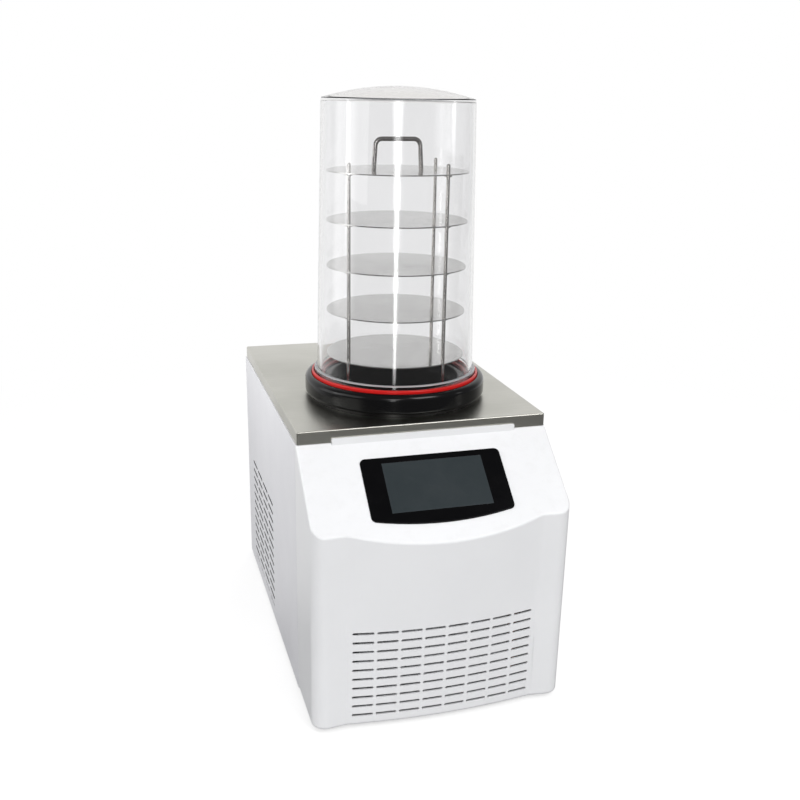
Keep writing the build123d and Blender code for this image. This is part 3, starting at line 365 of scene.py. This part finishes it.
def clear(name, colour, second, bend, haze=0.0, grind=0.0):
    """Clear acrylic: a trace of grey in its depth, and faint smears or a ground haze."""
    material, tree, shader = plain_material(name, Transmission_Weight=1.0 - haze, IOR=bend)
    clouds = effect(tree, "cloudy", Colour=rgb(*colour), Second=rgb(*second), Scale=CLEAR_CLOUDS)
    smears = effect(
        tree, "brushed", Stretch=(6.0, 6.0, 1.0), Scale=8.0, Smooth=grind, Rough=grind + SMEAR
    )
    feed(tree, shader.inputs["Base Color"], clouds["Colour"])
    feed(tree, shader.inputs["Roughness"], smears["Roughness"])
    return material


def shade_vent_walls(material, low, high):
    """Paint the side panels' vent walls near black inside the border: painted shade in the slots.

    low and high are the corners of either panel's box: the two are alike along Y and Z.
    """
    tree = material.node_tree
    base = tree.nodes["Principled BSDF"].inputs["Base Color"]
    painted = base.links[0].from_socket
    surface = joined(tree, "ShaderNodeNewGeometry")
    facing = joined(tree, "ShaderNodeSeparateXYZ", Vector=surface.outputs["True Normal"])
    sideways = math_node(tree, "ABSOLUTE", facing.outputs["X"])
    cut = math_node(tree, "LESS_THAN", sideways, CUT_FACING)
    parts = joined(tree, "ShaderNodeSeparateXYZ", Vector=here(tree))
    for axis, start, end in (("Y", low.y, high.y), ("Z", low.z, high.z)):
        apart = math_node(tree, "SUBTRACT", parts.outputs[axis], (start + end) / 2)
        away = math_node(tree, "ABSOLUTE", apart)
        inside = math_node(tree, "LESS_THAN", away, (end - start) / 2 - VENT_BORDER)
        cut = math_node(tree, "MULTIPLY", cut, inside)
    # The walls inside the border take the painted shade in place of the paint.
    feed(tree, base, blended(tree, cut, painted, rgb(*CUT_SHADE)))


# Colours are linear. Roughness drifts from smooth to rough, and colour from the first to
# the second. Grain and scale set how fine the texture is, and stretch which way it runs.
# Depth and radius, of the bump and of softened corners, are in metres; wear and dust are
# shares. Names in capitals are the shader's own settings. On the white paints the wear
# colour is lighter than the paint, so rubbed edges also carry a painted highlight.
COATED = {
    "white_moulding": dict(
        colour=(0.85, 0.855, 0.87), second=(0.83, 0.835, 0.85), smooth=0.28, rough=0.36,
        grain=900.0, depth=0.00002, wear_colour=(0.9, 0.9, 0.9), wear=0.2, radius=0.0008,
        Specular_IOR_Level=0.45,
    ),
    # Lighter wear colour: its edges are partly wear and partly a painted highlight.
    "white_paint": dict(
        colour=(0.80, 0.80, 0.83), second=(0.78, 0.78, 0.81), smooth=0.34, rough=0.46,
        grain=1400.0, depth=0.00004, wear_colour=(0.95, 0.95, 0.95), wear=0.6, radius=0.0010,
    ),
    # As white_paint, with a wider painted highlight along the edges; the vent walls get painted
    # shade.
    "vented_paint": dict(
        colour=(0.80, 0.80, 0.83), second=(0.78, 0.78, 0.81), smooth=0.34, rough=0.46,
        grain=1400.0, depth=0.00004, wear_colour=(0.97, 0.97, 0.98), wear=0.9, radius=0.0014,
    ),
    "black_bezel": dict(
        colour=(0.0015, 0.0015, 0.002), second=(0.003, 0.003, 0.0035), smooth=0.08, rough=0.14,
        grain=500.0, depth=0.000004, wear_colour=(0.05, 0.05, 0.05), wear=0.4, radius=0.0006,
        dust=0.002, Specular_IOR_Level=0.10,
    ),
    "display_glass": dict(
        colour=(0.025, 0.033, 0.037), second=(0.032, 0.040, 0.044), smooth=0.12, rough=0.20,
        grain=1200.0, depth=0.000003, wear_colour=(0.05, 0.05, 0.05), wear=0.0, radius=0.0003,
        dust=0.004, Specular_IOR_Level=0.3,
    ),
    "black_ring": dict(
        colour=(0.002, 0.002, 0.0024), second=(0.004, 0.004, 0.0044), smooth=0.12, rough=0.18,
        grain=1100.0, depth=0.00001, wear_colour=(0.03, 0.03, 0.03), wear=0.35, radius=0.0010,
        dust=0.001, Specular_IOR_Level=0.24,
    ),
    "red_silicone": dict(
        colour=(0.62, 0.008, 0.006), second=(0.54, 0.006, 0.005), smooth=0.26, rough=0.38,
        grain=800.0, depth=0.00002, wear_colour=(0.7, 0.1, 0.08), wear=0.2, radius=0.0008,
        dust=0.004, Specular_IOR_Level=0.4,
    ),
    "foam": dict(
        colour=(0.72, 0.66, 0.46), second=(0.62, 0.56, 0.38), smooth=0.85, rough=0.95,
        grain=260.0, depth=0.0006, wear_colour=(0.8, 0.75, 0.6), wear=0.3, radius=0.002,
    ),
    "grey_plastic": dict(
        colour=(0.40, 0.41, 0.42), second=(0.36, 0.37, 0.38), smooth=0.4, rough=0.55, grain=700.0,
        depth=0.00003, wear_colour=(0.5, 0.5, 0.5), wear=0.3, radius=0.0006,
    ),
    "black_plastic": dict(
        colour=(0.020, 0.020, 0.021), second=(0.028, 0.028, 0.029), smooth=0.38, rough=0.55,
        grain=700.0, depth=0.00005, wear_colour=(0.09, 0.09, 0.09), wear=0.5, radius=0.0006,
    ),
    "rubber": dict(
        colour=(0.024, 0.023, 0.022), second=(0.034, 0.033, 0.032), smooth=0.6, rough=0.8,
        grain=600.0, depth=0.00008, wear_colour=(0.1, 0.1, 0.1), wear=0.4, radius=0.0012,
    ),
    "black_paint": dict(
        colour=(0.012, 0.012, 0.012), second=(0.018, 0.018, 0.018), smooth=0.22, rough=0.34,
        grain=300.0, depth=0.00005, wear_colour=(0.2, 0.2, 0.2), wear=0.4, radius=0.0015,
        Coat_Weight=0.2,
    ),
    "board_green": dict(
        colour=(0.02, 0.16, 0.06), second=(0.02, 0.12, 0.05), smooth=0.3, rough=0.45, grain=500.0,
        depth=0.00004, wear_colour=(0.5, 0.4, 0.2), wear=0.3, radius=0.0004,
    ),
}

METALLIC = {
    "stainless": dict(
        colour=(0.61, 0.60, 0.55), second=(0.565, 0.56, 0.51), smooth=0.28, rough=0.38,
        stretch=(1.0, 70.0, 70.0), scale=14.0, depth=0.00002, radius=0.0008, Anisotropic=0.5,
    ),
    "stainless_polished": dict(
        colour=(0.62, 0.615, 0.60), second=(0.56, 0.555, 0.54), smooth=0.08, rough=0.2,
        stretch=(8.0, 8.0, 8.0), scale=10.0, depth=0.000006, radius=0.0004,
    ),
    "shaded_steel": dict(
        colour=(0.014, 0.014, 0.015), second=(0.010, 0.010, 0.011), smooth=0.10, rough=0.2,
        stretch=(6.0, 6.0, 1.0), scale=20.0, depth=0.000006, radius=0.0004,
    ),
    "bright_steel": dict(
        colour=(0.64, 0.62, 0.60), second=(0.56, 0.54, 0.52), smooth=0.10, rough=0.2,
        stretch=(8.0, 8.0, 1.0), scale=30.0, depth=0.000006, radius=0.0003,
    ),
    # The handle's steel, darker than the rods': painted shade for the dark surroundings it
    # mirrors.
    "drawn_steel": dict(
        colour=(0.46, 0.44, 0.43), second=(0.38, 0.37, 0.36), smooth=0.10, rough=0.18,
        stretch=(8.0, 8.0, 1.0), scale=30.0, depth=0.000006, radius=0.0003,
    ),
    "zinc_steel": dict(
        colour=(0.62, 0.62, 0.58), second=(0.52, 0.52, 0.49), smooth=0.25, rough=0.42,
        stretch=(20.0, 20.0, 20.0), scale=30.0, depth=0.00002, radius=0.0004,
    ),
    "galvanised": dict(
        colour=(0.62, 0.63, 0.64), second=(0.50, 0.51, 0.53), smooth=0.30, rough=0.5,
        stretch=(3.0, 3.0, 3.0), scale=20.0, depth=0.00002, radius=0.0005,
    ),
    "copper": dict(
        colour=(0.78, 0.40, 0.26), second=(0.60, 0.30, 0.20), smooth=0.22, rough=0.45,
        stretch=(8.0, 8.0, 8.0), scale=25.0, depth=0.00003, radius=0.0004,
    ),
    "brass": dict(
        colour=(0.72, 0.52, 0.24), second=(0.60, 0.43, 0.20), smooth=0.18, rough=0.34,
        stretch=(2.0, 2.0, 40.0), scale=20.0, depth=0.00002, radius=0.0004,
    ),
    "fin_aluminium": dict(
        colour=(0.74, 0.75, 0.77), second=(0.62, 0.63, 0.65), smooth=0.25, rough=0.45,
        stretch=(2.0, 20.0, 2.0), scale=30.0, depth=0.00003, radius=0.0003,
    ),
}

CLEAR = {
    "clear_acrylic": dict(
        colour=(0.945, 0.945, 0.95), second=(0.925, 0.925, 0.93), bend=1.49,
    ),
    "clear_dome": dict(
        colour=(0.90, 0.89, 0.88), second=(0.88, 0.87, 0.86), bend=1.06,
    ),
    "clear_edge": dict(
        colour=(0.93, 0.94, 0.97), second=(0.90, 0.91, 0.95), bend=1.49, haze=0.35, grind=0.2,
    ),
}

# The cabinet's nodes that wear each finish; the dome and edge finishes are the bell's alone.
WEARERS = {
    "white_moulding": ["front_panel"],
    "black_bezel": ["touch_panel"],
    "display_glass": ["display"],
    "vented_paint": ["side_panel_left", "side_panel_right"],
    "white_paint": ["rear_panel"],
    "galvanised": ["base_pan", "fan_shroud", "fan_bracket", "power_supply"],
    "zinc_steel": ["base_screws", "rear_screws"],
    "stainless": ["top_plate"],
    "stainless_polished": [
        "rack_top_plate", "shelf_1", "shelf_2", "shelf_3", "shelf_4", "vacuum_pipe",
        "vacuum_port", "pressure_sensor",
    ],
    "shaded_steel": ["cold_trap", "trap_floor"],
    "bright_steel": ["rack_rod_1", "rack_rod_2", "rack_rod_3", "rack_collars"],
    "drawn_steel": ["rack_handle"],
    "black_ring": ["seat_ring"],
    "red_silicone": ["seal_ring"],
    "clear_acrylic": ["bell_jar"],
    "copper": [
        "evaporator_coil", "discharge_line", "filter_drier", "liquid_line", "suction_line"
    ],
    "foam": ["insulation_jacket"],
    "brass": ["drain_valve", "release_valve"],
    "grey_plastic": ["drain_pipe"],
    "black_plastic": [
        "drain_lever", "release_knob", "terminal_box", "fan_blade", "mains_inlet", "pump_socket",
        "switch_housing", "power_rocker",
    ],
    "rubber": [
        "compressor_grommets", "foot_front_left", "foot_front_right", "foot_rear_left",
        "foot_rear_right",
    ],
    "black_paint": ["compressor", "fan_motor"],
    "fin_aluminium": ["condenser"],
    "board_green": ["control_board"],
}


def make_finishes():
    """Every finish, by name."""
    made = {}
    for build, table in ((coated, COATED), (metallic, METALLIC), (clear, CLEAR)):
        made.update({name: build(name, **given) for name, given in table.items()})
    # The side panels' vent walls get painted shade.
    shade_vent_walls(made["vented_paint"], *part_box("side_panel_left"))
    return made


def dress(finishes):
    """Give every node of the cabinet its finish."""
    for finish, names in WEARERS.items():
        for name in names:
            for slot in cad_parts[name].material_slots:
                slot.material = finishes[finish]


# --------------------------------------------------------------------------- pieces
MERGED = 0.00001               # points this close are one
SHARP_FROM = math.radians(35)
BELL_FOOT = 0.111              # radius of the wall above the foot
BELL_CROWN = 0.1035            # and at the shoulder
BELL_WALL = 0.005
BELL_DOME_WALL = 0.003         # at the shoulder; the crown is as thick as the wall
BELL_FLANGE = 0.009
BELL_LIP = 0.002               # rounding of the flange's edge
BELL_RISE = 0.015              # of the dome above the shoulder
BELL_ROUND = 0.003             # rounding of the shoulder
BELL_STEPS = 160
DOME_STEPS = 20
ROUND_STEPS = 6
LOOKS_UP = 0.3                 # least upward part of a face's normal on the flange's top
DOME_SLOT = 1
EDGE_SLOT = 2
HANDLE_WIRE = 0.0031           # radius
HANDLE_BEND = 0.009            # radius of the bends, to the wire's middle
HANDLE_LEAN = 0.0025           # of each leg, inwards
BAR_SIDES = 28
BEND_STEPS = 10


def finished(mesh, name, material):
    """Object from a bmesh: doubles merged, faces outwards, smooth but for real corners."""
    bmesh.ops.remove_doubles(mesh, verts=mesh.verts, dist=MERGED)
    bmesh.ops.recalc_face_normals(mesh, faces=mesh.faces)
    piece = meshed(name, mesh, material)
    piece.data.shade_smooth()
    piece.data.set_sharp_from_angle(angle=SHARP_FROM)
    return piece


def dome(radius, edge, crown):
    """Points of the shallow arc from the shoulder to the crown on the axis."""
    rise = crown - edge
    bow = (radius**2 + rise**2) / (2 * rise)
    sweep = math.asin(radius / bow)
    angles = [sweep * (1 - i / DOME_STEPS) for i in range(DOME_STEPS + 1)]
    return [(bow * math.sin(a), crown - bow + bow * math.cos(a)) for a in angles]


def rounded(radius, height, round_radius):
    """Points of a convex corner between a wall below and a top above."""
    angles = [math.pi / 2 * i / ROUND_STEPS for i in range(ROUND_STEPS + 1)]
    return [
        (radius - round_radius * (1 - math.cos(a)), height - round_radius * (1 - math.sin(a)))
        for a in angles
    ]


def turned(outline, centre):
    """Bmesh of a (radius, height) outline spun about the upright axis at centre."""
    mesh = bmesh.new()
    verts = [mesh.verts.new((radius, 0.0, height)) for radius, height in outline]
    edges = [mesh.edges.new(pair) for pair in zip(verts, verts[1:])]
    bmesh.ops.spin(
        mesh, geom=verts + edges, cent=(0, 0, 0), axis=(0, 0, 1), angle=2 * math.pi,
        steps=BELL_STEPS, use_merge=True,
    )
    bmesh.ops.translate(mesh, verts=mesh.verts, vec=(centre.x, centre.y, 0.0))
    return mesh


def turned_shell(outer, hollow, centre):
    """Outer and inner skins that both start at the foot and close on the axis."""
    mesh = turned(outer, centre)
    inner = turned(hollow + [outer[0]], centre)
    data = bpy.data.meshes.new("hollow")
    inner.to_mesh(data)
    inner.free()
    mesh.from_mesh(data)
    bpy.data.meshes.remove(data)
    return mesh


def add_bell(finishes):
    """Clear bell with its foot flange, wall, tight shoulder and shallow dome."""
    low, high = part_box("bell_jar")
    flange = (high.x - low.x) / 2
    flange_top = low.z + BELL_FLANGE
    shoulder = high.z - BELL_RISE
    inner_shoulder = shoulder - BELL_DOME_WALL
    inner_foot = BELL_FOOT - BELL_WALL
    inner_crown = BELL_CROWN - BELL_WALL
    outer = [
        (inner_foot, low.z), (flange, low.z), *rounded(flange, flange_top, BELL_LIP),
        (BELL_FOOT, flange_top),
        *rounded(BELL_CROWN, shoulder, BELL_ROUND),
        *dome(BELL_CROWN - BELL_ROUND, shoulder, high.z),
    ]
    hollow = [
        *reversed(dome(inner_crown - BELL_ROUND, inner_shoulder, high.z - BELL_WALL)),
        *reversed(rounded(inner_crown, inner_shoulder, BELL_ROUND)),
    ]
    mesh = turned_shell(outer, hollow, (low + high) / 2)
    bell = finished(mesh, "clear_bell", finishes["clear_acrylic"])
    bell.data.materials.append(finishes["clear_dome"])
    bell.data.materials.append(finishes["clear_edge"])
    for face in bell.data.polygons:
        if face.center.z > shoulder - BELL_DOME_WALL / 2:
            face.material_index = DOME_SLOT
        elif face.center.z > flange_top - BELL_LIP and face.normal.z > LOOKS_UP:
            face.material_index = EDGE_SLOT
    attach(bell, "cabinet")
    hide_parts("bell_jar")


def edges_of(items):
    """The edges in what an operator made."""
    return [item for item in items if isinstance(item, bmesh.types.BMEdge)]


def drawn_on(mesh, rim, shift):
    """Extrude an open rim along a shift and return the new rim."""
    made = bmesh.ops.extrude_edge_only(mesh, edges=rim)["geom"]
    corners = {item for item in made if isinstance(item, bmesh.types.BMVert)}
    bmesh.ops.translate(mesh, verts=list(corners), vec=shift)
    return [edge for edge in edges_of(made) if corners.issuperset(edge.verts)]


def bent_bar(points, radius, bend):
    """Mesh of a round bar along straight runs with tangent bends."""
    mesh = bmesh.new()
    points = [Vector(point) for point in points]
    reached = points[0]
    facing = (points[1] - reached).to_track_quat("Z", "Y").to_matrix().to_4x4()
    start = Matrix.Translation(reached) @ facing
    bmesh.ops.create_circle(mesh, segments=BAR_SIDES, radius=radius, matrix=start)
    rim = list(mesh.edges)
    for before, corner, after in zip(points, points[1:], points[2:]):
        back = (before - corner).normalized()
        on = (after - corner).normalized()
        half = back.angle(on) / 2
        cut = bend / math.tan(half)
        rim = drawn_on(mesh, rim, corner + back * cut - reached)
        middle = corner + (back + on).normalized() * (bend / math.sin(half))
        swept = bmesh.ops.spin(
            mesh, geom=rim, cent=middle, axis=on.cross(back), angle=math.pi - 2 * half,
            steps=BEND_STEPS,
        )
        rim = edges_of(swept["geom_last"])
        reached = corner + on * cut
    drawn_on(mesh, rim, points[-1] - reached)
    bmesh.ops.holes_fill(mesh, edges=mesh.edges)
    return mesh


def add_handle(finishes):
    """Bent handle of the rack."""
    low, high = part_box("rack_handle")
    middle = (low.y + high.y) / 2
    crest = high.z - HANDLE_WIRE
    left = low.x + HANDLE_WIRE
    right = high.x - HANDLE_WIRE
    path = [
        (left, middle, low.z), (left + HANDLE_LEAN, middle, crest),
        (right - HANDLE_LEAN, middle, crest), (right, middle, low.z),
    ]
    bar = bent_bar(path, HANDLE_WIRE, HANDLE_BEND)
    # The handle's finish is steel darkened as painted shade.
    handle = finished(bar, "bent_handle", finishes["drawn_steel"])
    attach(handle, "cabinet")
    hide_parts("rack_handle")


# --------------------------------------------------------------------------- studio
FLOOR_HALF = 6.0
NEAR_FLOOR = 0.7               # reach at which the floor starts to turn white
FAR_FLOOR = 1.6                # and where it is white
FLOOR_TONE = 0.44
FLOOR_GLOW = 0.64
AMBIENT = 0.62
# How bright metal sees the studio: the bench before and behind the cabinet, the wall
# behind it, and the rest of the room. They meet softly over a range of directions, from
# -1 straight ahead of the cabinet to 1 straight behind it.
BENCH_AHEAD = 0.20
BENCH_BEHIND = 0.95
BENCH_CHANGE = (-0.2, 0.75)
WALL_MIRRORED = 0.95
ROOM_MIRRORED = 0.28
WALL_CHANGE = (0.2, 0.75)
CABINET_MIDDLE = Vector((0.0, -0.05, 0.40))
SIDE_LAMP_OFFSET = Vector((-0.32, 0.05, 0.22))       # from the left side's upper edge
CARD_CELLS = 8                 # each way, so that a card's flare is smooth


def off_gloss(tree):
    """1 for a ray that a glossy surface has sent on."""
    path = joined(tree, "ShaderNodeLightPath").outputs
    return math_node(tree, "GREATER_THAN", path["Glossy Depth"], 0.5)


def seen_share(tree, mirrored):
    """1 for the eye, straight or through glass, and the given share once off a gloss."""
    path = joined(tree, "ShaderNodeLightPath").outputs
    gloss = off_gloss(tree)
    plain = math_node(tree, "MAXIMUM", path["Is Camera Ray"], path["Is Transmission Ray"])
    straight = math_node(tree, "MULTIPLY", plain, math_node(tree, "SUBTRACT", 1.0, gloss))
    sent_on = math_node(tree, "MULTIPLY", gloss, mirrored)
    seen = math_node(tree, "ADD", straight, sent_on)
    lit = math_node(tree, "SUBTRACT", 1.0, path["Is Diffuse Ray"])
    return math_node(tree, "MULTIPLY", seen, lit)


def floor_material():
    """Pale near the cabinet, where it takes the shadow, and glowing white further out."""
    material, tree, shader = plain_material("floor", Roughness=0.9, Specular_IOR_Level=0.0)
    place = here(tree)
    length = joined(tree, "ShaderNodeVectorMath", {"operation": "LENGTH"})
    feed(tree, length.inputs[0], place)
    reach = length.outputs["Value"]
    parts = joined(tree, "ShaderNodeSeparateXYZ", Vector=place)
    behind = math_node(tree, "DIVIDE", parts.outputs["Y"], reach)
    mirrored = span(tree, behind, *BENCH_CHANGE, BENCH_AHEAD, BENCH_BEHIND)
    away = span(tree, reach, NEAR_FLOOR, FAR_FLOOR)
    glow = blended(tree, away, grey(FLOOR_GLOW), grey(1))
    tone = blended(tree, away, grey(FLOOR_TONE), grey(0))
    unlit = blended(tree, off_gloss(tree), tone, grey(0))
    feed(tree, shader.inputs["Base Color"], unlit)
    feed(tree, shader.inputs["Emission Color"], glow)
    feed(tree, shader.inputs["Emission Strength"], seen_share(tree, mirrored))
    return material


def add_floor():
    """Floor the cabinet stands on."""
    mesh = bmesh.new()
    bmesh.ops.create_grid(mesh, x_segments=1, y_segments=1, size=FLOOR_HALF)
    floor = meshed("floor", mesh, floor_material())


def add_world():
    """White surroundings for the eye, a plain even light for the surfaces."""
    world = bpy.data.worlds.new("studio")
    bpy.context.scene.world = world
    world.use_nodes = True
    tree = world.node_tree
    background = tree.nodes["Background"].inputs
    towards = joined(tree, "ShaderNodeTexCoord").outputs["Generated"]
    parts = joined(tree, "ShaderNodeSeparateXYZ", Vector=towards)
    mirrored = span(tree, parts.outputs["Y"], *WALL_CHANGE, ROOM_MIRRORED, WALL_MIRRORED)
    path = joined(tree, "ShaderNodeLightPath").outputs
    surfaces = math_node(tree, "MULTIPLY", path["Is Diffuse Ray"], AMBIENT)
    strength = math_node(tree, "ADD", seen_share(tree, mirrored), surfaces)
    feed(tree, background["Strength"], strength)
    feed(tree, background["Color"], grey(1))


def add_lamp(name, place, target, width, height, power, mirrored=True):
    """Soft rectangular lamp aimed at a point; the eye itself never meets it."""
    data = bpy.data.lights.new(name, "AREA")
    data.shape = "RECTANGLE"
    data.size = width
    data.size_y = height
    data.energy = power
    lamp = placed(name, data)
    place = Vector(place)
    aim = (target - place).to_track_quat("-Z", "Y").to_matrix().to_4x4()
    lamp.matrix_world = Matrix.Translation(place) @ aim
    lamp.visible_camera = False
    lamp.visible_transmission = False
    lamp.visible_glossy = mirrored


def add_lamps():
    """Key from the front right; fills from the left, low in front, behind and along the side."""
    target = CABINET_MIDDLE
    add_lamp("key", (0.9, -1.8, 2.2), target, width=1.2, height=1.2, power=30.0)
    add_lamp("fill", (-2.3, -0.7, 1.3), target, width=1.4, height=1.4, power=10.0)
    add_lamp(
        "front", (-0.9, -2.4, 0.42), target, width=1.2, height=0.8, power=11.5, mirrored=False
    )
    add_lamp("back", (1.2, 2.6, 1.3), target, width=1.6, height=1.2, power=14.0, mirrored=False)
    low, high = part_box("side_panel_left")
    edge = Vector((low.x, (low.y + high.y) / 2, high.z))
    add_lamp(
        "side", edge + SIDE_LAMP_OFFSET, edge, width=0.5, height=0.12, power=0.85, mirrored=False
    )


def faded(tree, place, soft):
    """1 in the middle of a card, falling to 0 at both ends of the given axis."""
    rise = span(tree, place, 0.0, soft)
    fall = span(tree, place, 1.0, 1.0 - soft)
    return math_node(tree, "MULTIPLY", rise, fall)


def card_material(name, strength, soft_sides, soft_ends):
    """Glow with soft borders that only glossy surfaces see."""
    material = bpy.data.materials.new(name)
    material.use_nodes = True
    tree = material.node_tree
    tree.nodes.remove(tree.nodes["Principled BSDF"])
    place = joined(tree, "ShaderNodeTexCoord").outputs["UV"]
    parts = joined(tree, "ShaderNodeSeparateXYZ", Vector=place)
    across = faded(tree, parts.outputs["X"], soft_sides)
    upward = faded(tree, parts.outputs["Y"], soft_ends)
    share = math_node(tree, "MULTIPLY", across, upward)
    power = math_node(tree, "MULTIPLY", share, strength)
    glow = joined(tree, "ShaderNodeEmission", Strength=power)
    nothing = joined(tree, "ShaderNodeBsdfTransparent")
    total = joined(tree, "ShaderNodeAddShader")
    feed(tree, total.inputs[0], glow.outputs[0])
    feed(tree, total.inputs[1], nothing.outputs[0])
    either = joined(tree, "ShaderNodeMixShader", Fac=off_gloss(tree))
    feed(tree, either.inputs[1], nothing.outputs[0])
    feed(tree, either.inputs[2], total.outputs[0])
    feed(tree, tree.nodes["Material Output"].inputs["Surface"], either.outputs[0])
    return material


def add_card(name, turn, distance, foot, head, low, high, strength, sides=0.35, ends=0.1):
    """Upright reflector that flares from foot to head metres wide, between two heights.

    turn is its bearing from the bell in degrees, from straight ahead towards the right;
    sides and ends are the shares of its width and height over which its glow fades.
    """
    mesh = bmesh.new()
    mesh.loops.layers.uv.new("place")
    bmesh.ops.create_grid(
        mesh, x_segments=CARD_CELLS, y_segments=CARD_CELLS, size=0.5, calc_uvs=True
    )
    for vert in mesh.verts:
        share = vert.co.y + 0.5
        width = foot + (head - foot) * share**3
        vert.co = (vert.co.x * width, -distance, low + (high - low) * share)
    bearing = Matrix.Rotation(math.radians(turn), 3, "Z")
    bmesh.ops.rotate(mesh, verts=mesh.verts, matrix=bearing)
    axis = sum(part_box("bell_jar"), Vector()) / 2
    bmesh.ops.translate(mesh, verts=mesh.verts, vec=(axis.x, axis.y, 0.0))
    card = meshed(name, mesh, card_material(name, strength, sides, ends))


def add_cards():
    """Reflectors that draw the bright lines in the bell and on polished metal."""
    add_card(
        "card_front", turn=-16.5, distance=1.5, foot=0.18, head=1.20, low=0.02, high=1.35,
        strength=7.0, sides=0.5,
    )
    add_card(
        "card_left", turn=-100.0, distance=2.4, foot=2.4, head=2.4, low=0.02, high=1.6,
        strength=1.6,
    )
    add_card(
        "card_left_line", turn=-93.0, distance=2.3, foot=0.22, head=0.34, low=0.30, high=1.6,
        strength=5.0, ends=0.4,
    )
    add_card(
        "card_right", turn=72.0, distance=2.4, foot=0.30, head=0.42, low=0.65, high=1.4,
        strength=4.5, ends=0.5,
    )


# ----------------------------------------------------------------------------- main
add_camera()
finishes = make_finishes()
dress(finishes)
add_bell(finishes)
add_handle(finishes)
add_floor()
add_world()
add_lamps()
add_cards()
bpy.context.scene.view_settings.view_transform = "Standard"
